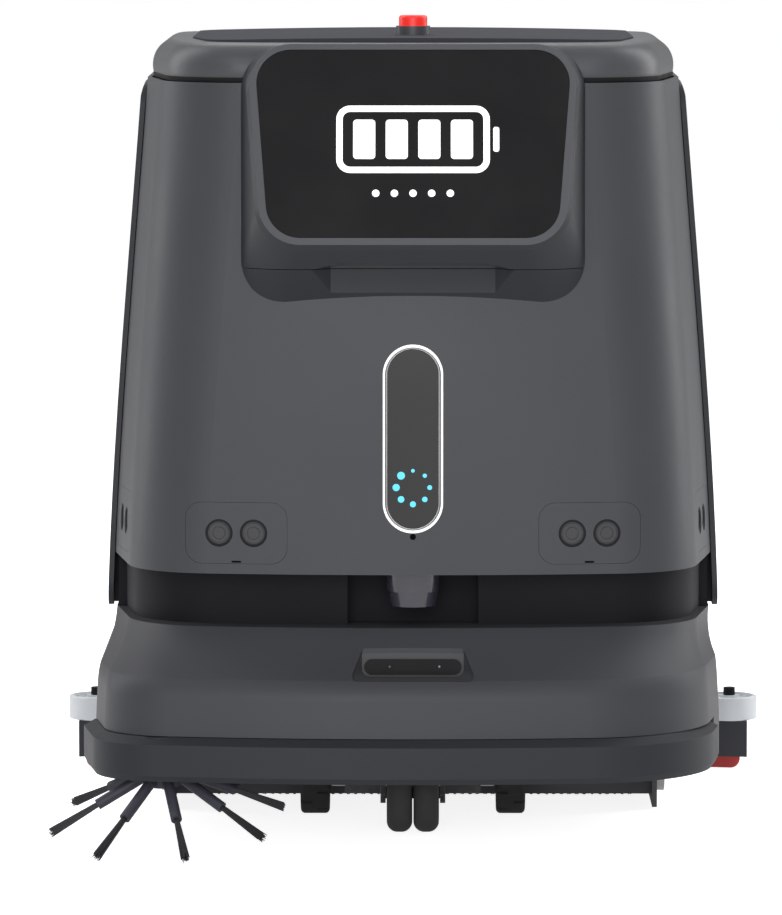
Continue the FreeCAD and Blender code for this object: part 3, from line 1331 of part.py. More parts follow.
def arc_bar(inner, outer, low, high, half):
    """Curved bar that follows the squeegee's bow between two radii, cut off at plus and minus half."""
    centre = V(0, SQUEEGEE_CENTRE_Y - SQUEEGEE_BOW, low)
    bar = Part.makeCylinder(SQUEEGEE_BOW + outer, high - low, centre)
    bar = bar.cut(Part.makeCylinder(SQUEEGEE_BOW + inner, high - low, centre))
    return bar.common(box(-half, half, 0, FAR, low, high))


def guard_y():
    """Depth of the squeegee's centre line at the guard rollers."""
    return SQUEEGEE_CENTRE_Y - SQUEEGEE_BOW + math.sqrt(SQUEEGEE_BOW ** 2 - GUARD_X ** 2)


def guard_roller():
    base = V(GUARD_X, guard_y(), SQUEEGEE_TOP + SEAT)
    roller = Part.makeCylinder(GUARD_RADIUS, GUARD_HEIGHT, base)
    roller = roller.makeFillet(GUARD_ROUND, [edge for edge in roller.Edges if edge.Closed])
    pocket_base = base + V(0, 0, GUARD_HEIGHT - GUARD_POCKET)
    pocket = ring_of(GUARD_RADIUS - GUARD_RIM, GUARD_HUB_RADIUS, GUARD_POCKET, pocket_base)
    ribs = []
    for index in range(GUARD_RIBS):
        rib = box(base.x + GUARD_HUB_RADIUS - GUARD_RIB_ROOT,
                  base.x + GUARD_RADIUS - GUARD_RIM + GUARD_RIB_ROOT, base.y - GUARD_RIB_HALF,
                  base.y + GUARD_RIB_HALF, base.z, base.z + GUARD_HEIGHT - GUARD_RIB_DROP)
        rib.rotate(base, V(0, 0, 1), index * 360 / GUARD_RIBS)
        ribs.append(rib)
    roller = roller.cut(pocket.cut(ribs))
    return roller.cut(Part.makeCylinder(GUARD_BOLT_RADIUS + RUNNING, GUARD_HEIGHT, base))


def guard_bolt():
    top = SQUEEGEE_TOP + GUARD_HEIGHT + 2 * SEAT
    start = SQUEEGEE_TOP - SQUEEGEE_WALL
    shank = Part.makeCylinder(GUARD_BOLT_RADIUS, top - start, V(GUARD_X, guard_y(), start))
    head = Part.makeCylinder(GUARD_HEAD_RADIUS, GUARD_HEAD_HEIGHT, V(GUARD_X, guard_y(), top))
    return fused(shank, head)


def suction_pipe(radius):
    """Pipe from the squeegee's crown up and forward into the back of the hood."""
    rise = Part.makeCylinder(radius, SUCTION_TOP - SQUEEGEE_TOP, V(0, SQUEEGEE_CENTRE_Y, SQUEEGEE_TOP))
    run = Part.makeCylinder(radius, SQUEEGEE_CENTRE_Y - SUCTION_END, V(0, SUCTION_END, SUCTION_TOP),
                            V(0, 1, 0))
    elbow = Part.makeSphere(radius, V(0, SQUEEGEE_CENTRE_Y, SUCTION_TOP))
    return fused(rise, run, elbow)


def squeegee_frame(bolt):
    """Bowed channel with the mast plate that slides in the hood's rails."""
    half_depth = SQUEEGEE_DEPTH / 2
    inside = half_depth - SQUEEGEE_WALL
    frame = arc_bar(-half_depth, half_depth, SQUEEGEE_LOW, SQUEEGEE_TOP, SQUEEGEE_HALF)
    channel_top = SQUEEGEE_TOP - SQUEEGEE_WALL
    frame = frame.cut(arc_bar(-inside, inside, 0, channel_top, SQUEEGEE_HALF - SQUEEGEE_WALL))
    frame = frame.cut(Part.makeCylinder(SUCTION_RADIUS - SUCTION_WALL, SQUEEGEE_TOP,
                                        V(0, SQUEEGEE_CENTRE_Y, SQUEEGEE_LOW)))
    frame = frame.cut([bolt, mirrored(bolt)])
    mast_y = HOOD_REAR + SEAT
    mast = box(-MAST_HALF, MAST_HALF, mast_y, mast_y + MAST_THICKNESS, SQUEEGEE_TOP, MAST_TOP)
    mast = mast.cut(Part.makeCylinder(SUCTION_RADIUS, 3 * CUT_MARGIN, V(0, mast_y - CUT_MARGIN, SUCTION_TOP),
                                      V(0, 1, 0)))
    rib = box(MAST_RIB_X - MAST_RIB_WIDTH / 2, MAST_RIB_X + MAST_RIB_WIDTH / 2, mast_y + MAST_THICKNESS,
              SQUEEGEE_CENTRE_Y, SQUEEGEE_TOP, SQUEEGEE_TOP + MAST_RIB_HEIGHT)
    return fused(frame, mast, rib, mirrored(rib))


def squeegee_blade(inner):
    """Bowed rubber blade with round lower corners."""
    half = SQUEEGEE_HALF - SQUEEGEE_WALL - SEAT
    blade = arc_bar(inner, inner + BLADE_THICKNESS, BLADE_LOW - CUT_MARGIN, BLADE_TOP, half + CUT_MARGIN)
    high = BLADE_TOP + CUT_MARGIN
    corners = [V(-half, 0, BLADE_LOW), V(half, 0, BLADE_LOW), V(half, 0, high), V(-half, 0, high)]
    return blade.common(prism(rounded_polygon(corners, BLADE_ROUND), V(0, FAR, 0)))


def squeegee_parts():
    bolt = guard_bolt()
    export(squeegee_frame(bolt), "squeegee_frame")
    inside = SQUEEGEE_DEPTH / 2 - SQUEEGEE_WALL
    export(group([squeegee_blade(-inside), squeegee_blade(inside - BLADE_THICKNESS)]), "squeegee_blades")
    roller = guard_roller()
    export(roller, "guard_roller_right")
    export(mirrored(roller), "guard_roller_left")
    export(both_sides(bolt), "guard_bolts")
    export(suction_pipe(SUCTION_RADIUS).cut(suction_pipe(SUCTION_RADIUS - SUCTION_WALL)), "suction_pipe")


def tank(y0, y1, neck_x, neck_y):
    """Tank that fills one half of the upper body, with a filler neck."""
    room = box(-FAR, FAR, y0, y1, SHELF_Z + SHELF_THICKNESS, TANK_TOP)
    neck = Part.makeCylinder(TANK_NECK_RADIUS, CAP_HEIGHT - CAP_ROOF, V(neck_x, neck_y, TANK_TOP))
    return body_form(WALL + SHELF_INSET).common(room).fuse(neck)


def tank_cap(x, y):
    base = TANK_TOP + SEAT
    top = base + CAP_HEIGHT
    cap = Part.makeCylinder(CAP_RADIUS, CAP_HEIGHT, V(x, y, base))
    cap = cap.cut(Part.makeCylinder(TANK_NECK_RADIUS + SEAT, CAP_HEIGHT - CAP_ROOF - SEAT, V(x, y, base)))
    grip_reach = CAP_RADIUS - CAP_GRIP_INSET
    grip = box(x - grip_reach, x + grip_reach, y - CAP_GRIP_HALF, y + CAP_GRIP_HALF, top,
               top + CAP_GRIP_HEIGHT)
    return fused(cap, grip)


def tank_shelf():
    """Shelf under both tanks on four legs."""
    room = box(-FAR, FAR, TANK_FRONT, -TANK_FRONT, SHELF_Z, SHELF_Z + SHELF_THICKNESS)
    shelf = body_form(WALL + SHELF_INSET / 2).common(room)
    half = SHELF_LEG_HALF
    legs = [box(x - half, x + half, y - half, y + half, SHELL_FLOOR, SHELF_Z)
            for x in (-SHELF_LEG_X, SHELF_LEG_X) for y in SHELF_LEG_YS]
    return fused(shelf, *legs)


def inner_parts():
    export(tank_shelf(), "tank_shelf")
    middle = TANK_GAP / 2
    export(tank(TANK_FRONT, -middle, TANK_NECK_X, -TANK_NECK_Y), "clean_tank")
    export(tank(middle, -TANK_FRONT, -TANK_NECK_X, TANK_NECK_Y), "waste_tank")
    export(group([tank_cap(TANK_NECK_X, -TANK_NECK_Y), tank_cap(-TANK_NECK_X, TANK_NECK_Y)]), "tank_caps")
    export(box(-BOX_OUTER_X, -BOX_INNER_X, BOX_FRONT, BATTERY_REAR, SHELL_FLOOR, SHELF_Z - BATTERY_HEADROOM),
           "battery")
    export(box(BOX_INNER_X, BOX_OUTER_X, BOX_FRONT, CONTROL_REAR, SHELL_FLOOR, SHELF_Z - CONTROL_HEADROOM),
           "control_box")
    vacuum = Part.makeCylinder(VACUUM_RADIUS, VACUUM_HEIGHT, V(VACUUM_X, VACUUM_Y, SHELL_FLOOR))
    outlet = Part.makeCylinder(VACUUM_TOP_RADIUS, VACUUM_TOP_HEIGHT,
                               V(VACUUM_X, VACUUM_Y, SHELL_FLOOR + VACUUM_HEIGHT))
    export(fused(vacuum, outlet), "vacuum_motor")


def main():
    os.makedirs("parts", exist_ok=True)
    lid_parts()
    stop_parts()
    screen_parts()
    shell_parts()
    neck_parts()
    hood_parts()
    bumper_parts()
    chassis_parts()
    caster_parts()
    drive_parts()
    side_brush_parts()
    deck_parts()
    squeegee_parts()
    inner_parts()


main()
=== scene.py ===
import json
import math
import random

import bmesh
import bpy
from mathutils import Matrix, Vector
from mathutils.bvhtree import BVHTree


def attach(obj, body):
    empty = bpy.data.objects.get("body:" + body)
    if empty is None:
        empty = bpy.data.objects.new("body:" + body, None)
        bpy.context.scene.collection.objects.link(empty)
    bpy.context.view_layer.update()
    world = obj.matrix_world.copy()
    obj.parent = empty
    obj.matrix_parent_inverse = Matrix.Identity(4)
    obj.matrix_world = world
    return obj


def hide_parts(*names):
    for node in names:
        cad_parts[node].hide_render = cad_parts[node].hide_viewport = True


# Looks of the floor-scrubbing robot: metres, +Z up, front towards -Y.

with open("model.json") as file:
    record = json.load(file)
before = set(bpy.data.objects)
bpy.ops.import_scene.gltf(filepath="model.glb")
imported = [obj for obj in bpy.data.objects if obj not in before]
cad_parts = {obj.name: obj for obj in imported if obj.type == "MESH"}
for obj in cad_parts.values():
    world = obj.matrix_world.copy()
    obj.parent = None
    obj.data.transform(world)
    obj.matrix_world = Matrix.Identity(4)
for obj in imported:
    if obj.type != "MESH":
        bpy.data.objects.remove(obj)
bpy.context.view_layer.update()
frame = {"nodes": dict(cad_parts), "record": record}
nodes = frame["nodes"]

# Camera of the photograph
CAMERA_PLACE = Vector((0.0007, -5.725, 0.8663))
CAMERA_TARGET = Vector((-0.0198, 0.0, 0.3214))
CAMERA_REACH = 100.0
SENSOR = 36.0
FOCAL_PIXELS = 6382.8
IMAGE_HEIGHT = 915.0

# Studio light: what the surroundings give, and how white floor and background look
AMBIENT = 0.25
SHOWN_WHITE = 1.0
SHOWN_GLOSS = 0.4
FLOOR_LIFT = 0.86
FLOOR_HALF = 14.0
FLOOR_CELLS = 8
FLOOR_TONES = ((0.86, 0.86, 0.86, 1.0), (0.88, 0.88, 0.88, 1.0))
WHITE = (1.0, 1.0, 1.0, 1.0)

# Lamps, all aimed at the body's middle: name, place, width and height, power in watts
LIGHT_TARGET = Vector((0.0, 0.0, 0.38))
LIGHTS = (
    ("front", Vector((-0.3, -6.3, 1.45)), (3.4, 2.9), 170.0),
    ("upper_left", Vector((-1.5, -3.0, 3.0)), (1.2, 1.2), 14.0),
    ("upper_right", Vector((1.5, -3.0, 3.0)), (1.2, 1.2), 17.0),
    ("left_strip", Vector((-2.3, 1.05, 1.6)), (0.9, 3.2), 38.0),
    ("right_strip", Vector((2.3, 1.05, 1.6)), (0.9, 3.2), 50.0),
    ("overhead", Vector((0.0, -0.2, 3.2)), (2.4, 2.0), 11.0),
    ("back", Vector((0.0, 2.6, 3.4)), (2.4, 1.6), 40.0),
)

# Screen plane: top centre, tilt and how deep the glass face lies
SCREEN_TOP = Vector((0.0, -0.214, 0.697))
SCREEN_TILT = math.radians(18.2)
GLASS_FACE = -0.001
GLYPH_RAISE = 0.0002

# Charge gauge on the screen: half width, half height and corner radius of its frame, cap and bars
GAUGE_CENTRE = -0.082
GAUGE_OUTER = (0.066, 0.030, 0.012)
GAUGE_INNER = (0.0605, 0.0245, 0.0065)
GAUGE_CAP = (0.0026, 0.011, 0.002)
GAUGE_CAP_X = 0.0715
BAR = (0.0095, 0.0175, 0.003)
BAR_COUNT = 4
BAR_FIRST_X = -0.042
BAR_PITCH = 0.028

# Row of dots under the gauge
DOT_RADIUS = 0.0032
DOT_COUNT = 5
DOT_FIRST_X = -0.032
DOT_PITCH = 0.016
DOT_DROP = -0.048

# Light panel: middle height, half sizes of the groove and grey edge inside the lit ring
PANEL_Z = 0.360
GROOVE_OUTER = (0.0242, 0.0791)
EDGE_OUTER = (0.0235, 0.0788)
EDGE_INNER = (0.0225, 0.0780)
RING_END_SLACK = 0.0001
RING_END_STEPS = 24
RING_POINT_GAP = 0.008

# Ring of dots on the light panel: its middle, and how the dots grow round it
MARK_Z = 0.318
MARK_RADIUS = 0.0145
MARK_DOTS = 8
MARK_DOT_RADIUS = 0.0016
MARK_DOT_GROWTH = 0.0018

# How far thin marks reach into their carrier and stand proud of it
DECAL_RAISE = 0.00025

# Microphone hole under the lit ring, a black disc that paints the shade inside the hole
MICROPHONE_Z = 0.2752
MICROPHONE_RADIUS = 0.0026

# Ultrasonic sensors: places on the front and cheeks, finger slots of their panels with painted shade in
# them, and rubber seals made thick and dark to paint the shade of the transducers' recesses
SONAR_Z = 0.2775
SONAR_FRONT_XS = (0.138, 0.168)
SONAR_CHEEK_YS = (-0.123, -0.093)
SONAR_PANEL_X = 0.153
SLOT = (0.0042, 0.0008, 0.0007)
SLOT_Z = 0.2526
CHEEK_FLARE = math.radians(9.0)
FRONT_BOW = 1.240
SONAR_SEAL_SHADE_RADIUS = 0.0110
SONAR_SEAL_SHADE_THICKNESS = 0.0012
SONAR_SEAL_SHADE_STEPS = 32
SONAR_SEAL_SHADE_SIDES = 8

# Rubber seal under the lid's rim, dark to paint the shade of the undercut as well: where it starts beside
# the screen head, its height and thickness
LID_SEAL_SHADE_START = math.radians(35.6)
LID_SEAL_SHADE_LOW = 0.6664
LID_SEAL_SHADE_HIGH = 0.6704
LID_SEAL_SHADE_SUNK = 0.0004
LID_SEAL_SHADE_PROUD = 0.0006
LID_SEAL_SHADE_STEPS = 180
LID_RIM_LOW = 0.6672

# Depth camera lenses: rims, and painted glints, pale discs a little off their middles
LENS_XS = (-0.0205, 0.0225)
LENS_Z = 0.1626
LENS_RADIUS = 0.0042
LENS_RIM = 0.0007
GLINT_RADII = (0.0006, 0.0009)
GLINT_SHIFT = 0.0004

# Foam strips that close the gap between the neck and the side covers
NECK_SIDE = 0.2625
STRIP_FRONT = -0.034
STRIP_BACK = -0.024
STRIP_LOW = 0.195
STRIP_HIGH = 0.2405
STRIP_SUNK = 0.0004

# Side brush: centre of its tip circle, lean and arms
BRUSH_CENTRE = Vector((-0.213, -0.232, 0.0262))
BRUSH_LEAN_SIDE = math.radians(3.0)
BRUSH_LEAN_FRONT = math.radians(11.2)
BRUSH_TIP_RADIUS = 0.104
BRUSH_APEX = 0.052
BRUSH_ARMS = 8
BRUSH_PHASE = math.radians(145.0)
BRUSH_HOLDER_SHARE = 0.58
BRUSH_ROOT_RADIUS = 0.0025
BRUSH_FLARE_RADIUS = 0.0044
BRUSH_FILAMENTS = 46
BRUSH_SUNK = 0.004
BRUSH_UNEVEN = 0.10
FILAMENT_ROOT = 0.00055
FILAMENT_TIP = 0.0004

# Splash shield round the foot of the side-brush motor: an oval with a round hole
SHIELD_HOLE = 0.015
SHIELD_HALF_WIDTH = 0.031
SHIELD_HALF_DEPTH = 0.022
SHIELD_CENTRE = (-0.004, 0.0035)
SHIELD_HIGH = 0.057
SHIELD_THICKNESS = 0.0012
SHIELD_STEPS = 40

# Roller brush: axis, core, bare ends and tuft rows
ROLLER_AXIS = Vector((0.0, 0.088, 0.0355))
ROLLER_CORE = 0.022
ROLLER_TIP = 0.0345
ROLLER_HALF = 0.206
ROLLER_BARE_END = 0.003
ROLLER_ROWS = 10
TUFT_PITCH = 0.0070
TUFT_FILAMENTS = 12
TUFT_ROOT = 0.0012
TUFT_FLARE = 0.0017
TUFT_SUNK = 0.001
TUFT_UNEVEN = 0.0010
TUFT_FILAMENT_ROOT = 0.0006
TUFT_FILAMENT_TIP = 0.0004
TUFT_SIDES = 3

# Turn from one filament of a bundle to the next, which spreads them evenly
GOLDEN_TURN = 2.399963

# Sockets of the colour mix node
MIX_FACTOR = 0
MIX_FIRST = 6
MIX_SECOND = 7
MIX_COLOUR = 2

# Filaments of uneven length, the same in each run
random.seed(7)


def srgb(red, green, blue):
    """Linear colour from 8-bit display values."""
    out = []
    for value in (red, green, blue):
        share = value / 255.0
        out.append(share / 12.92 if share <= 0.04045 else ((share + 0.055) / 1.055) ** 2.4)
    return tuple(out) + (1.0,)


class Nodes:
    """Small helper that adds shader nodes to one material and links them."""

    def __init__(self, name):
        self.material = bpy.data.materials.new(name)
        self.material.use_nodes = True
        self.tree = self.material.node_tree
        self.shader = self.tree.nodes["Principled BSDF"]
        self.output = self.tree.nodes["Material Output"]

    def add(self, kind, **values):
        """New node, with values for its sockets or its own settings."""
        node = self.tree.nodes.new(kind)
        for key, value in values.items():
            if key in node.inputs:
                node.inputs[key].default_value = value
            else:
                setattr(node, key, value)
        return node

    def link(self, start, end):
        self.tree.links.new(start, end)

    def place(self, stretch=(1.0, 1.0, 1.0)):
        """Object coordinates, stretched to draw a texture out along an axis."""
        coordinates = self.add("ShaderNodeTexCoord")
        mapping = self.add("ShaderNodeMapping")
        mapping.inputs["Scale"].default_value = stretch
        self.link(coordinates.outputs["Object"], mapping.inputs["Vector"])
        return mapping.outputs["Vector"]

    def noise(self, vector, scale, detail=3.0):
        """Cloudy texture from 0 to 1."""
        noise = self.add("ShaderNodeTexNoise", Scale=scale, Detail=detail)
        self.link(vector, noise.inputs["Vector"])
        return noise.outputs["Fac"]

    def spread(self, factor, low, high):
        """Maps the middle of a texture's range to a range of numbers."""
        limits = {"From Min": 0.3, "From Max": 0.7, "To Min": low, "To Max": high}
        node = self.add("ShaderNodeMapRange", **limits)
        self.link(factor, node.inputs["Value"])
        return node.outputs["Result"]

    def mix(self, factor, first, second):
        """Blend of two colours, each given as a value or as another node's output."""
        node = self.add("ShaderNodeMix", data_type="RGBA")
        for index, source in ((MIX_FACTOR, factor), (MIX_FIRST, first), (MIX_SECOND, second)):
            if isinstance(source, (float, tuple)):
                node.inputs[index].default_value = source
            else:
                self.link(source, node.inputs[index])
        return node.outputs[MIX_COLOUR]

    def tint(self, factor, colour, darker, lighter):
        """Colour that a texture varies between a darker and a lighter tone of it."""
        return self.mix(self.spread(factor, 0.0, 1.0), shade(colour, darker), shade(colour, lighter))

    def multiply(self, first, second):
        """Product of a node's output and a number or another output."""
        node = self.add("ShaderNodeMath", operation="MULTIPLY")
        self.link(first, node.inputs[0])
        if isinstance(second, float):
            node.inputs[1].default_value = second
        else:
            self.link(second, node.inputs[1])
        return node.outputs[0]

    def feed(self, socket, output):
        """Links a node's output to a socket of the shader."""
        self.link(output, self.shader.inputs[socket])

    def fix(self, socket, value):
        """Sets a socket of the shader to one value all over the surface."""
        self.shader.inputs[socket].default_value = value

    def edges(self, radius):
        """Mask that is bright along sharp edges, for chipped and scuffed corners, and on moulded parts also
        for a painted highlight along the edges.
        """
        bevel = self.add("ShaderNodeBevel", samples=4, Radius=radius)
        geometry = self.add("ShaderNodeNewGeometry")
        dot = self.add("ShaderNodeVectorMath", operation="DOT_PRODUCT")
        self.link(bevel.outputs["Normal"], dot.inputs[0])
        self.link(geometry.outputs["Normal"], dot.inputs[1])
        node = self.add("ShaderNodeMapRange", **{"From Min": 0.995, "From Max": 0.85})
        self.link(dot.outputs["Value"], node.inputs["Value"])
        return node.outputs["Result"]

    def bump(self, height, strength, distance):
        """Fine relief of the surface."""
        bump = self.add("ShaderNodeBump", Strength=strength, Distance=distance)
        self.link(height, bump.inputs["Height"])
        self.feed("Normal", bump.outputs["Normal"])


def shade(colour, factor):
    """Colour made darker or lighter."""
    return tuple(min(1.0, channel * factor) for channel in colour[:3]) + (1.0,)


def moulded_plastic(name, colour, roughness=0.5, grain=0.10, edge_wear_and_sheen=0.25, shine=0.29):
    """Textured moulding: spark-eroded grain, faint mottling and lighter edges, partly scuffed plastic and
    partly a painted highlight.
    """
    made = Nodes(name)
    where = made.place()
    broad = made.noise(where, scale=6.0)
    fine = made.noise(where, scale=1400.0, detail=2.0)
    tone = made.tint(broad, colour, darker=0.95, lighter=1.05)
    speck = made.tint(fine, colour, darker=0.90, lighter=1.10)
    base = made.mix(0.35, tone, speck)
    # Lighter edges: partly scuffed plastic, partly a painted highlight along the edges
    rubbed_and_highlit = made.multiply(made.edges(radius=0.0012), edge_wear_and_sheen)
    made.feed("Base Color", made.mix(rubbed_and_highlit, base, shade(colour, 1.7)))
    made.feed("Roughness", made.spread(broad, roughness - 0.05, roughness + 0.05))
    made.bump(fine, strength=grain, distance=0.0004)
    made.fix("Specular IOR Level", shine)
    return made.material


def gloss_plastic(name, colour, roughness=0.12, coat=0.4):
    """Polished moulding with faint swirl marks under a clear coat."""
    made = Nodes(name)
    where = made.place()
    broad = made.noise(where, scale=30.0)
    fine = made.noise(where, scale=400.0)
    made.feed("Base Color", made.tint(broad, colour, darker=0.96, lighter=1.04))
    made.feed("Roughness", made.spread(fine, roughness * 0.8, roughness * 1.3))
    made.fix("Coat Weight", coat)
    made.fix("Coat Roughness", 0.06)
    return made.material


def display_glass(name, colour, shine=0.3):
    """Dark cover glass: deep colour and faint dust."""
    made = Nodes(name)
    where = made.place()
    dust = made.noise(where, scale=700.0)
    made.feed("Base Color", made.mix(made.spread(dust, 0.0, 0.25), colour, shade(colour, 1.4)))
    made.feed("Roughness", made.spread(made.noise(where, scale=12.0), 0.16, 0.24))
    made.fix("Specular IOR Level", shine)
    return made.material


def rubber(name, colour, roughness=0.75):
    """Rubber with a dusty bloom and fine pores."""
    made = Nodes(name)
    where = made.place()
    bloom = made.noise(where, scale=45.0)
    pores = made.noise(where, scale=900.0)
    made.feed("Base Color", made.tint(bloom, colour, darker=0.85, lighter=1.2))
    made.feed("Roughness", made.spread(bloom, roughness - 0.1, roughness + 0.1))
    made.bump(pores, strength=0.18, distance=0.0005)
    made.fix("Specular IOR Level", 0.3)
    return made.material


def brushed_metal(name, colour, roughness=0.32, stretch=(1.0, 60.0, 60.0)):
    """Metal with brushing drawn along one axis."""
    made = Nodes(name)
    lines = made.noise(made.place(stretch), scale=40.0, detail=4.0)
    made.feed("Base Color", made.tint(lines, colour, darker=0.8, lighter=1.15))
    made.feed("Roughness", made.spread(lines, roughness - 0.08, roughness + 0.1))
    made.fix("Metallic", 1.0)
    made.bump(lines, strength=0.08, distance=0.0002)
    return made.material


def painted_metal(name, colour, roughness=0.5):
    """Powder-coated steel with orange peel and chipped edges."""
    made = Nodes(name)
    where = made.place()
    peel = made.noise(where, scale=320.0)
    patch = made.noise(where, scale=160.0, detail=5.0)
    chipped = made.multiply(made.edges(radius=0.0015), made.spread(patch, 0.0, 0.7))
    made.feed("Base Color", made.mix(chipped, colour, srgb(150, 150, 148)))
    made.feed("Roughness", made.spread(peel, roughness - 0.06, roughness + 0.08))
    made.bump(peel, strength=0.12, distance=0.0006)
    return made.material


def bristle(name, root, tip):
    """Nylon filaments: streaky, a little shiny, paler where they are worn."""
    made = Nodes(name)
    streak = made.noise(made.place(), scale=600.0)
    made.feed("Base Color", made.mix(made.spread(streak, 0.0, 1.0), root, tip))
    made.feed("Roughness", made.spread(streak, 0.42, 0.62))
    return made.material


def glowing(name, colour, strength):
    """Lit graphic: a diffuser with a faint pixel grain. On the stop button, which is no lamp, this glow is
    painted light.
    """
    made = Nodes(name)
    grain = made.noise(made.place(), scale=2500.0)
    tint = made.mix(made.spread(grain, 0.0, 1.0), shade(colour, 0.97), colour)
    made.feed("Base Color", tint)
    made.feed("Emission Color", tint)
    made.fix("Emission Strength", strength)
    made.fix("Roughness", 0.4)
    return made.material


MATERIALS = {
    "shell_grey": moulded_plastic("shell_grey", srgb(65, 67, 71)),
    "lid_grey": moulded_plastic("lid_grey", srgb(70, 72, 76), roughness=0.43, shine=0.42),
    "head_grey": moulded_plastic("head_grey", srgb(46, 48, 52)),
    "bezel_grey": moulded_plastic("bezel_grey", srgb(80, 82, 86), roughness=0.42, edge_wear_and_sheen=0.15),
    "screen_black": display_glass("screen_black", srgb(24, 24, 26)),
    "trim_black": moulded_plastic("trim_black", srgb(22, 23, 27), roughness=0.7, shine=0.18),
    "light_white": glowing("light_white", srgb(244, 245, 245), strength=0.5),
    "panel_grey": moulded_plastic("panel_grey", srgb(45, 45, 45), edge_wear_and_sheen=0.1),
    "scanner_violet": gloss_plastic("scanner_violet", srgb(60, 58, 68)),
    # The stop button's red glows a little though the button is no lamp: painted light that brightens it.
    "stop_red": glowing("stop_red", srgb(236, 42, 35), strength=0.36),
    "hood_grey": moulded_plastic("hood_grey", srgb(65, 66, 70), shine=0.23),
    "bumper_grey": moulded_plastic("bumper_grey", srgb(44, 46, 50), roughness=0.54, grain=0.16, shine=0.24),
    "steel": brushed_metal("steel", srgb(165, 166, 170)),
    "plate_steel": painted_metal("plate_steel", srgb(46, 47, 50)),
    "wheel_grey": rubber("wheel_grey", srgb(66, 66, 66)),
    "tyre_black": rubber("tyre_black", srgb(60, 60, 61), roughness=0.85),
    "hub_grey": moulded_plastic("hub_grey", srgb(58, 58, 61)),
    "bristle_dark": bristle("bristle_dark", srgb(18, 18, 22), srgb(40, 40, 47)),
    "bristle_grey": bristle("bristle_grey", srgb(48, 48, 52), srgb(84, 86, 90)),
    "cap_pale": moulded_plastic("cap_pale", srgb(206, 206, 204), edge_wear_and_sheen=0.1),
    "blade_red": rubber("blade_red", srgb(184, 66, 62), roughness=0.6),
    "guard_white": moulded_plastic("guard_white", srgb(212, 216, 220), roughness=0.45, edge_wear_and_sheen=0.1),
    "tank_pale": moulded_plastic("tank_pale", srgb(202, 208, 212), roughness=0.4, edge_wear_and_sheen=0.1),
    "battery_blue": moulded_plastic("battery_blue", srgb(52, 66, 92)),
    "brass": brushed_metal("brass", srgb(205, 168, 92), roughness=0.25),
    "chin_grey": moulded_plastic("chin_grey", srgb(47, 49, 53), roughness=0.55, shine=0.22),
    "window_black": display_glass("window_black", srgb(22, 22, 24), shine=0.14),
    "frame_dark": moulded_plastic("frame_dark", srgb(50, 51, 58), roughness=0.55),
    "deck_grey": moulded_plastic("deck_grey", srgb(90, 90, 94), roughness=0.6),
    "cover_grey": moulded_plastic("cover_grey", srgb(54, 56, 60), shine=0.24),
    "pocket_grey": moulded_plastic("pocket_grey", srgb(78, 79, 82), shine=0.24),
    # Near black for plates that paint the shade inside holes and slots
    "painted_hole_shade": moulded_plastic("painted_hole_shade", srgb(8, 8, 9), roughness=0.8, edge_wear_and_sheen=0.0, shine=0.05),
    "lid_dark": moulded_plastic("lid_dark", srgb(66, 67, 73), roughness=0.8, shine=0.1),
    "sonar_black": moulded_plastic("sonar_black", srgb(64, 65, 68)),
    "holder_blue": moulded_plastic("holder_blue", srgb(58, 58, 68)),
    # Black rubber; on the lid and sonar seals it also paints the shade of the undercut and of the recesses
    "seal_black_and_shade": rubber("seal_black_and_shade", srgb(26, 26, 28)),
    # Pale gloss for the painted glints on the depth camera's lenses
    "painted_glint_pale": gloss_plastic("painted_glint_pale", srgb(150, 152, 156)),
    "line_grey": gloss_plastic("line_grey", srgb(112, 112, 114), roughness=0.35),
    "cyan_glow": glowing("cyan_glow", srgb(80, 200, 232), strength=0.5),
    "white_glow": glowing("white_glow", srgb(246, 248, 248), strength=0.8),
}

# Nodes whose finish differs from that of their slot
OWN_FINISH = {
    "side_cover_left": "cover_grey",
    "side_cover_right": "cover_grey",
    "stop_collar": "lid_grey",
    "scanner_cap": "scanner_violet",
    "screen_chin": "chin_grey",
    "camera_pocket": "pocket_grey",
    "camera_window": "window_black",
    "squeegee_frame": "frame_dark",
    "deck_housing": "deck_grey",
    "deck_skirts": "deck_grey",
    "sonar_panels": "shell_grey",
    "sonar_transducers": "sonar_black",
    "side_brush_hub": "holder_blue",
    "side_brush_motor": "deck_grey",
    "lid_panel": "lid_dark",
}


def finish_nodes():
    """Gives every CAD node its own finish or the finish of its slot."""
    slots = {row["node"]: row["material_slot"] for row in frame["record"]["subparts"]}
    for name, item in nodes.items():
        chosen = MATERIALS[OWN_FINISH.get(name, slots[name])]
        item.data.materials.clear()
        item.data.materials.append(chosen)
        item.data.polygons.foreach_set("material_index", [0] * len(item.data.polygons))


def make_piece(name, mesh, finish, body):
    """Wraps a bmesh as a scene piece that rides on a body."""
    bmesh.ops.recalc_face_normals(mesh, faces=mesh.faces)
    data = bpy.data.meshes.new(name)
    mesh.to_mesh(data)
    mesh.free()
    item = bpy.data.objects.new(name, data)
    bpy.context.scene.collection.objects.link(item)
    data.materials.append(MATERIALS[finish])
    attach(item, body)
    return item


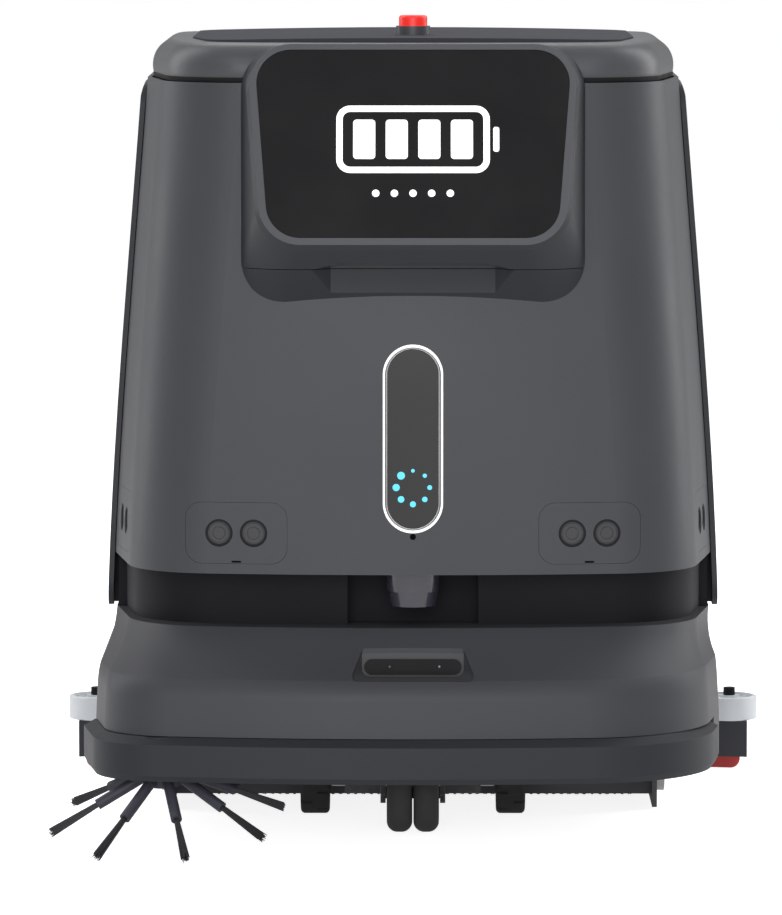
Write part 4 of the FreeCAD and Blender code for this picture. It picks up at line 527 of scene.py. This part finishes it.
def strand(mesh, start, end, root_radius, tip_radius, sides=4):
    """One tapered filament in two lengths, closed at both ends."""
    points = [start, (start + end) / 2, end]
    way = (end - start).normalized()
    across = way.orthogonal().normalized()
    other = way.cross(across)
    rings = []
    for index, point in enumerate(points):
        radius = root_radius + (tip_radius - root_radius) * index / 2
        ring = []
        for side in range(sides):
            turn = 2 * math.pi * side / sides
            ring.append(mesh.verts.new(point + (across * math.cos(turn) + other * math.sin(turn)) * radius))
        rings.append(ring)
    for lower, upper in zip(rings, rings[1:]):
        for side in range(sides):
            mesh.faces.new((lower[side], lower[(side + 1) % sides], upper[(side + 1) % sides], upper[side]))
    mesh.faces.new(rings[-1])
    mesh.faces.new(rings[0][::-1])


def brush_frame():
    """Place and lean of the side brush."""
    lean = Matrix.Rotation(-BRUSH_LEAN_SIDE, 4, "Y") @ Matrix.Rotation(BRUSH_LEAN_FRONT, 4, "X")
    return Matrix.Translation(BRUSH_CENTRE) @ lean


def side_brush():
    """Eight bundles of flaring filaments in place of the plain bristle cones."""
    mesh = bmesh.new()
    where = brush_frame()
    for arm in range(BRUSH_ARMS):
        angle = BRUSH_PHASE + arm * 2 * math.pi / BRUSH_ARMS
        out = Vector((math.cos(angle), math.sin(angle), 0))
        tip = out * BRUSH_TIP_RADIUS
        root = out * BRUSH_TIP_RADIUS * BRUSH_HOLDER_SHARE
        root.z = BRUSH_APEX * (1 - BRUSH_HOLDER_SHARE)
        way = (tip - root).normalized()
        across = way.orthogonal().normalized()
        other = way.cross(across)
        for index in range(BRUSH_FILAMENTS):
            turn = index * GOLDEN_TURN
            share = math.sqrt((index + 0.5) / BRUSH_FILAMENTS)
            side = across * math.cos(turn) + other * math.sin(turn)
            start = root - way * BRUSH_SUNK + side * share * (BRUSH_ROOT_RADIUS - FILAMENT_ROOT)
            length = 1.0 - BRUSH_UNEVEN * random.random()
            end = root + (tip - root) * length + side * share * (BRUSH_FLARE_RADIUS - FILAMENT_TIP)
            strand(mesh, where @ start, where @ end, FILAMENT_ROOT, FILAMENT_TIP)
    item = make_piece("side_brush_filaments", mesh, "bristle_dark", "side_brush")
    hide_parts("side_brush_bristles")


def brush_shield():
    """Thin grey oval that closes the view past the side-brush motor."""
    where = brush_frame()
    mesh = bmesh.new()

    def place(x, y, level):
        return where @ Vector((x, y, SHIELD_HIGH + level * SHIELD_THICKNESS))

    rim = []
    for x, y in circle(1.0, steps=SHIELD_STEPS):
        rim.append((SHIELD_CENTRE[0] + x * SHIELD_HALF_WIDTH, SHIELD_CENTRE[1] + y * SHIELD_HALF_DEPTH))
    hoop(mesh, rim, circle(SHIELD_HOLE, steps=SHIELD_STEPS), place)
    make_piece("brush_shield", mesh, "bumper_grey", "chassis")


def roller_brush():
    """Rows of separate tufts round the roller core."""
    mesh = bmesh.new()
    along = Vector((1, 0, 0))
    count = int(2 * ROLLER_HALF / TUFT_PITCH)
    first = -ROLLER_HALF + ROLLER_BARE_END
    pitch = (2 * ROLLER_HALF - 2 * ROLLER_BARE_END) / count
    for row in range(ROLLER_ROWS):
        angle = math.pi / 2 + row * 2 * math.pi / ROLLER_ROWS
        out = Vector((0, math.cos(angle), math.sin(angle)))
        around = out.cross(along)
        for step in range(count):
            root = ROLLER_AXIS + along * (first + (step + 0.5) * pitch) + out * (ROLLER_CORE - TUFT_SUNK)
            for index in range(TUFT_FILAMENTS):
                turn = index * GOLDEN_TURN
                share = math.sqrt((index + 0.5) / TUFT_FILAMENTS)
                side = (along * math.cos(turn) + around * math.sin(turn)) * share
                tip = root + out * (ROLLER_TIP - ROLLER_CORE - TUFT_UNEVEN * random.random())
                strand(mesh, root + side * TUFT_ROOT, tip + side * TUFT_FLARE,
                       TUFT_FILAMENT_ROOT, TUFT_FILAMENT_TIP, TUFT_SIDES)
    item = make_piece("roller_tufts", mesh, "bristle_grey", "roller")
    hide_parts("roller_bristles")


def screen_place(across, up, proud):
    """Point on the tilted screen, measured from its top centre."""
    normal = Vector((0, -math.cos(SCREEN_TILT), math.sin(SCREEN_TILT)))
    rise = Vector((0, math.sin(SCREEN_TILT), math.cos(SCREEN_TILT)))
    return SCREEN_TOP + Vector((across, 0, 0)) + rise * up + normal * proud


def rounded_outline(half_width, half_height, radius, steps=8):
    """Points round a rectangle with round corners, anticlockwise."""
    points = []
    for corner, (cx, cy) in enumerate(((1, 1), (-1, 1), (-1, -1), (1, -1))):
        for step in range(steps + 1):
            turn = (corner + step / steps) * math.pi / 2
            points.append((cx * (half_width - radius) + radius * math.cos(turn),
                           cy * (half_height - radius) + radius * math.sin(turn)))
    return points


class Surface:
    """Outside of a node as seen from one side, for setting thin pieces on it."""

    def __init__(self, name):
        data = nodes[name].data
        corners = [vertex.co.copy() for vertex in data.vertices]
        self.tree = BVHTree.FromPolygons(corners, [tuple(face.vertices) for face in data.polygons])

    def front(self, x, z, raise_by):
        """Point on the front at a width and height, raised off it."""
        hit = self.tree.ray_cast(Vector((x, -1.0, z)), Vector((0, 1, 0)))[0]
        return Vector((x, hit.y - raise_by, z))

    def mark(self, x, z, level):
        """Point of a thin mark on the front: level 0 is its foot in the carrier, 1 its face."""
        return self.front(x, z, (2 * level - 1) * DECAL_RAISE)


def wall(mesh, first, second):
    """Band of faces between two closed loops."""
    for index in range(len(first)):
        after = (index + 1) % len(first)
        mesh.faces.new((first[index], first[after], second[after], second[index]))


def plate(mesh, points, place):
    """Closed thin plate; place gives a point at level 0, sunk in its carrier, or 1, its face."""
    face = [mesh.verts.new(place(x, y, 1)) for x, y in points]
    foot = [mesh.verts.new(place(x, y, 0)) for x, y in points]
    mesh.faces.new(face)
    mesh.faces.new(foot[::-1])
    wall(mesh, face, foot)


def hoop(mesh, outer, inner, place):
    """Closed thin ring between two outlines with the same number of points."""
    loops = []
    for points, level in ((outer, 1), (inner, 1), (inner, 0), (outer, 0)):
        loops.append([mesh.verts.new(place(x, y, level)) for x, y in points])
    for index in range(4):
        wall(mesh, loops[index], loops[(index + 1) % 4])


def circle(radius, x=0.0, y=0.0, steps=20):
    """Points round a circle."""
    turns = [2 * math.pi * step / steps for step in range(steps)]
    return [(x + radius * math.cos(turn), y + radius * math.sin(turn)) for turn in turns]


def shifted(points, x, y=0.0):
    """Outline moved sideways and up."""
    return [(px + x, py + y) for px, py in points]


def finer(points, longest):
    """Outline with points added along its long sides, so that it can follow a curved carrier."""
    out = []
    for index, start in enumerate(points):
        end = points[(index + 1) % len(points)]
        count = max(1, math.ceil(math.dist(start, end) / longest))
        for step in range(count):
            share = step / count
            out.append((start[0] + (end[0] - start[0]) * share, start[1] + (end[1] - start[1]) * share))
    return out


def screen_design():
    """Plain status graphic: a charge gauge with bars over a row of dots."""
    mesh = bmesh.new()

    def place(x, y, level):
        return screen_place(x, GAUGE_CENTRE + y, GLASS_FACE + (2 * level - 1) * GLYPH_RAISE)

    hoop(mesh, rounded_outline(*GAUGE_OUTER), rounded_outline(*GAUGE_INNER), place)
    plate(mesh, shifted(rounded_outline(*GAUGE_CAP), GAUGE_CAP_X), place)
    for index in range(BAR_COUNT):
        plate(mesh, shifted(rounded_outline(*BAR), BAR_FIRST_X + index * BAR_PITCH), place)
    for index in range(DOT_COUNT):
        plate(mesh, circle(DOT_RADIUS, DOT_FIRST_X + index * DOT_PITCH, DOT_DROP), place)
    make_piece("status_graphic", mesh, "white_glow", "lid")


def panel_details():
    """Groove and grey edge on the lit ring, and a plain ring of dots that grow round it."""
    loops = []
    for half, rise in (GROOVE_OUTER, EDGE_OUTER, EDGE_INNER):
        outline = rounded_outline(half, rise, half - RING_END_SLACK, RING_END_STEPS)
        loops.append(shifted(finer(outline, RING_POINT_GAP), 0, PANEL_Z))
    ring = Surface("light_ring")
    for index, (name, finish) in enumerate((("ring_groove", "panel_grey"), ("ring_edge", "line_grey"))):
        mesh = bmesh.new()
        hoop(mesh, loops[index], loops[index + 1], ring.mark)
        make_piece(name, mesh, finish, "chassis")
    panel = Surface("light_panel")
    mesh = bmesh.new()
    for index in range(MARK_DOTS):
        turn = 2 * math.pi * index / MARK_DOTS
        radius = MARK_DOT_RADIUS + MARK_DOT_GROWTH * index / (MARK_DOTS - 1)
        spot = (MARK_RADIUS * math.sin(turn), MARK_Z + MARK_RADIUS * math.cos(turn))
        plate(mesh, circle(radius, *spot), panel.mark)
    make_piece("panel_mark", mesh, "cyan_glow", "chassis")


def shell_details():
    """Black plates that paint the shade inside the microphone hole under the lit ring and inside the finger
    slots of the sensor panels.
    """
    mesh = bmesh.new()
    plate(mesh, circle(MICROPHONE_RADIUS, 0.0, MICROPHONE_Z), Surface("front_shell").mark)
    panels = Surface("sonar_panels")
    for side in (-1, 1):
        plate(mesh, shifted(rounded_outline(*SLOT), side * SONAR_PANEL_X, SLOT_Z), panels.mark)
    make_piece("shell_slot_shades", mesh, "painted_hole_shade", "chassis")


def sonar_spots():
    """Middle of each transducer's face and the way it looks."""
    carrier = Surface("sonar_transducers")
    spots = []
    for side in (-1, 1):
        for x in SONAR_FRONT_XS:
            turn = math.asin(x / FRONT_BOW)
            outward = Vector((side * math.sin(turn), -math.cos(turn), 0))
            spots.append((carrier.front(side * x, SONAR_Z, 0.0), outward))
        for y in SONAR_CHEEK_YS:
            hit = carrier.tree.ray_cast(Vector((side, y, SONAR_Z)), Vector((-side, 0, 0)))[0]
            spots.append((hit, Vector((side * math.cos(CHEEK_FLARE), -math.sin(CHEEK_FLARE), 0))))
    return spots


def sonar_seal_shade_rings():
    """Rubber rings that hold the transducers, round in section, made thick and dark so that they also paint
    the shade of the transducers' recesses.
    """
    mesh = bmesh.new()
    up = Vector((0, 0, 1))
    for place, outward in sonar_spots():
        across = outward.cross(up)
        rings = []
        for around, rise in circle(1.0, steps=SONAR_SEAL_SHADE_STEPS):
            out = across * around + up * rise
            ring = []
            for reach, proud in circle(SONAR_SEAL_SHADE_THICKNESS, SONAR_SEAL_SHADE_RADIUS, steps=SONAR_SEAL_SHADE_SIDES):
                ring.append(mesh.verts.new(place + out * reach + outward * proud))
            rings.append(ring)
        for step, ring in enumerate(rings):
            wall(mesh, ring, rings[(step + 1) % SONAR_SEAL_SHADE_STEPS])
    make_piece("sonar_seal_shade_rings", mesh, "seal_black_and_shade", "chassis")


def lid_seal_shade():
    """Black seal that hugs the lid's rim from one side of the screen head round to the other, and paints
    the shade of the undercut under the lid.
    """
    mesh = bmesh.new()
    lid = Surface("top_lid")
    rings = []
    for step in range(LID_SEAL_SHADE_STEPS + 1):
        turn = LID_SEAL_SHADE_START + (2 * math.pi - 2 * LID_SEAL_SHADE_START) * step / LID_SEAL_SHADE_STEPS
        out = Vector((math.sin(turn), -math.cos(turn), 0))
        ring = []
        for z in (LID_SEAL_SHADE_LOW, LID_SEAL_SHADE_HIGH):
            hit = lid.tree.ray_cast(Vector((0, 0, max(z, LID_RIM_LOW))) + out, -out)[0]
            for reach in (-LID_SEAL_SHADE_SUNK, LID_SEAL_SHADE_PROUD):
                ring.append(mesh.verts.new(Vector((hit.x, hit.y, z)) + out * reach))
        rings.append([ring[0], ring[1], ring[3], ring[2]])
    for before, after in zip(rings, rings[1:]):
        wall(mesh, before, after)
    mesh.faces.new(rings[0])
    mesh.faces.new(rings[-1][::-1])
    make_piece("lid_seal_shade", mesh, "seal_black_and_shade", "lid")


def camera_lenses():
    """Rims of two small lenses on the depth camera's window, and pale discs on them as painted glints."""
    window = Surface("camera_window")
    mesh = bmesh.new()
    for x in LENS_XS:
        hoop(mesh, circle(LENS_RADIUS, x, LENS_Z), circle(LENS_RADIUS - LENS_RIM, x, LENS_Z), window.mark)
    make_piece("lens_rims", mesh, "seal_black_and_shade", "chassis")
    # Painted glints: pale discs a little off the lenses' middles
    mesh = bmesh.new()
    for x, radius in zip(LENS_XS, GLINT_RADII):
        plate(mesh, circle(radius, x + GLINT_SHIFT, LENS_Z + GLINT_SHIFT), window.mark)
    make_piece("painted_lens_glints", mesh, "painted_glint_pale", "chassis")


def gap_strips():
    """Dark foam between the neck and the lower ends of the side covers."""
    mesh = bmesh.new()
    sunk = Vector((STRIP_SUNK, 0, 0))
    for side, name in ((-1, "side_cover_left"), (1, "side_cover_right")):
        cover = Surface(name)
        rings = []
        for z in (STRIP_LOW, STRIP_HIGH):
            ring = []
            for y in (STRIP_FRONT, STRIP_BACK):
                neck = Vector((side * NECK_SIDE, y, z))
                hit = cover.tree.ray_cast(neck, Vector((side, 0, 0)))[0]
                ring.append((neck - sunk * side, hit + sunk * side))
            corners = (ring[0][0], ring[0][1], ring[1][1], ring[1][0])
            rings.append([mesh.verts.new(corner) for corner in corners])
        wall(mesh, rings[0], rings[1])
        mesh.faces.new(rings[0][::-1])
        mesh.faces.new(rings[1])
    make_piece("gap_strips", mesh, "seal_black_and_shade", "chassis")


def aim(item, place, target):
    """Puts a camera or lamp at a place and turns it to a target."""
    item.location = place
    item.rotation_euler = (target - place).to_track_quat("-Z", "Y").to_euler()
    bpy.context.scene.collection.objects.link(item)


def camera():
    """Camera of the photograph."""
    data = bpy.data.cameras.new("photo_camera")
    data.sensor_width = SENSOR
    data.lens = FOCAL_PIXELS / IMAGE_HEIGHT * SENSOR
    data.clip_end = CAMERA_REACH
    item = bpy.data.objects.new("photo_camera", data)
    aim(item, CAMERA_PLACE, CAMERA_TARGET)
    bpy.context.scene.camera = item


def lights():
    """Soft rectangular lamps round the object."""
    for name, place, size, power in LIGHTS:
        data = bpy.data.lights.new(name, "AREA")
        data.shape = "RECTANGLE"
        data.size, data.size_y = size
        data.energy = power
        aim(bpy.data.objects.new(name, data), place, LIGHT_TARGET)


def shown(tree, low, high):
    """Strength that is high where the camera sees it, less in gloss, and low as light on things."""
    path = tree.nodes.new("ShaderNodeLightPath")
    total = None
    for name, strength in (("Is Camera Ray", high), ("Is Transmission Ray", high),
                           ("Is Glossy Ray", high * SHOWN_GLOSS)):
        scaled = tree.nodes.new("ShaderNodeMath")
        scaled.operation = "MULTIPLY"
        tree.links.new(path.outputs[name], scaled.inputs[0])
        scaled.inputs[1].default_value = strength
        larger = tree.nodes.new("ShaderNodeMath")
        larger.operation = "MAXIMUM"
        tree.links.new(scaled.outputs[0], larger.inputs[0])
        if total is None:
            larger.inputs[1].default_value = low
        else:
            tree.links.new(total, larger.inputs[1])
        total = larger.outputs[0]
    return total


def studio():
    """Even white surroundings."""
    world = bpy.data.worlds.new("studio")
    bpy.context.scene.world = world
    world.use_nodes = True
    tree = world.node_tree
    background = tree.nodes["Background"]
    background.inputs["Color"].default_value = WHITE
    tree.links.new(shown(tree, AMBIENT, SHOWN_WHITE), background.inputs["Strength"])


def floor_finish():
    """Pale matt floor that is clear when seen from below."""
    made = Nodes("floor_pale")
    grain = made.noise(made.place(), scale=8.0)
    made.feed("Base Color", made.mix(made.spread(grain, 0.0, 1.0), *FLOOR_TONES))
    made.fix("Roughness", 0.9)
    made.fix("Specular IOR Level", 0.1)
    made.fix("Emission Color", WHITE)
    made.feed("Emission Strength", shown(made.tree, 0.0, FLOOR_LIFT))
    clear = made.add("ShaderNodeBsdfTransparent")
    geometry = made.add("ShaderNodeNewGeometry")
    either = made.add("ShaderNodeMixShader")
    sources = (geometry.outputs["Backfacing"], made.shader.outputs[0], clear.outputs[0])
    for output, socket in zip(sources, either.inputs):
        made.link(output, socket)
    made.link(either.outputs[0], made.output.inputs["Surface"])
    return made.material


def floor():
    """Plain floor under the object."""
    mesh = bmesh.new()
    bmesh.ops.create_grid(mesh, x_segments=FLOOR_CELLS, y_segments=FLOOR_CELLS, size=FLOOR_HALF)
    data = bpy.data.meshes.new("floor")
    mesh.to_mesh(data)
    mesh.free()
    data.materials.append(floor_finish())
    item = bpy.data.objects.new("floor", data)
    bpy.context.scene.collection.objects.link(item)


def main():
    """Dresses the CAD nodes, adds the fine pieces and sets up the studio."""
    bpy.context.scene.view_settings.view_transform = "Standard"
    finish_nodes()
    side_brush()
    brush_shield()
    roller_brush()
    screen_design()
    panel_details()
    shell_details()
    sonar_seal_shade_rings()
    lid_seal_shade()
    camera_lenses()
    gap_strips()
    camera()
    lights()
    studio()
    floor()


main()
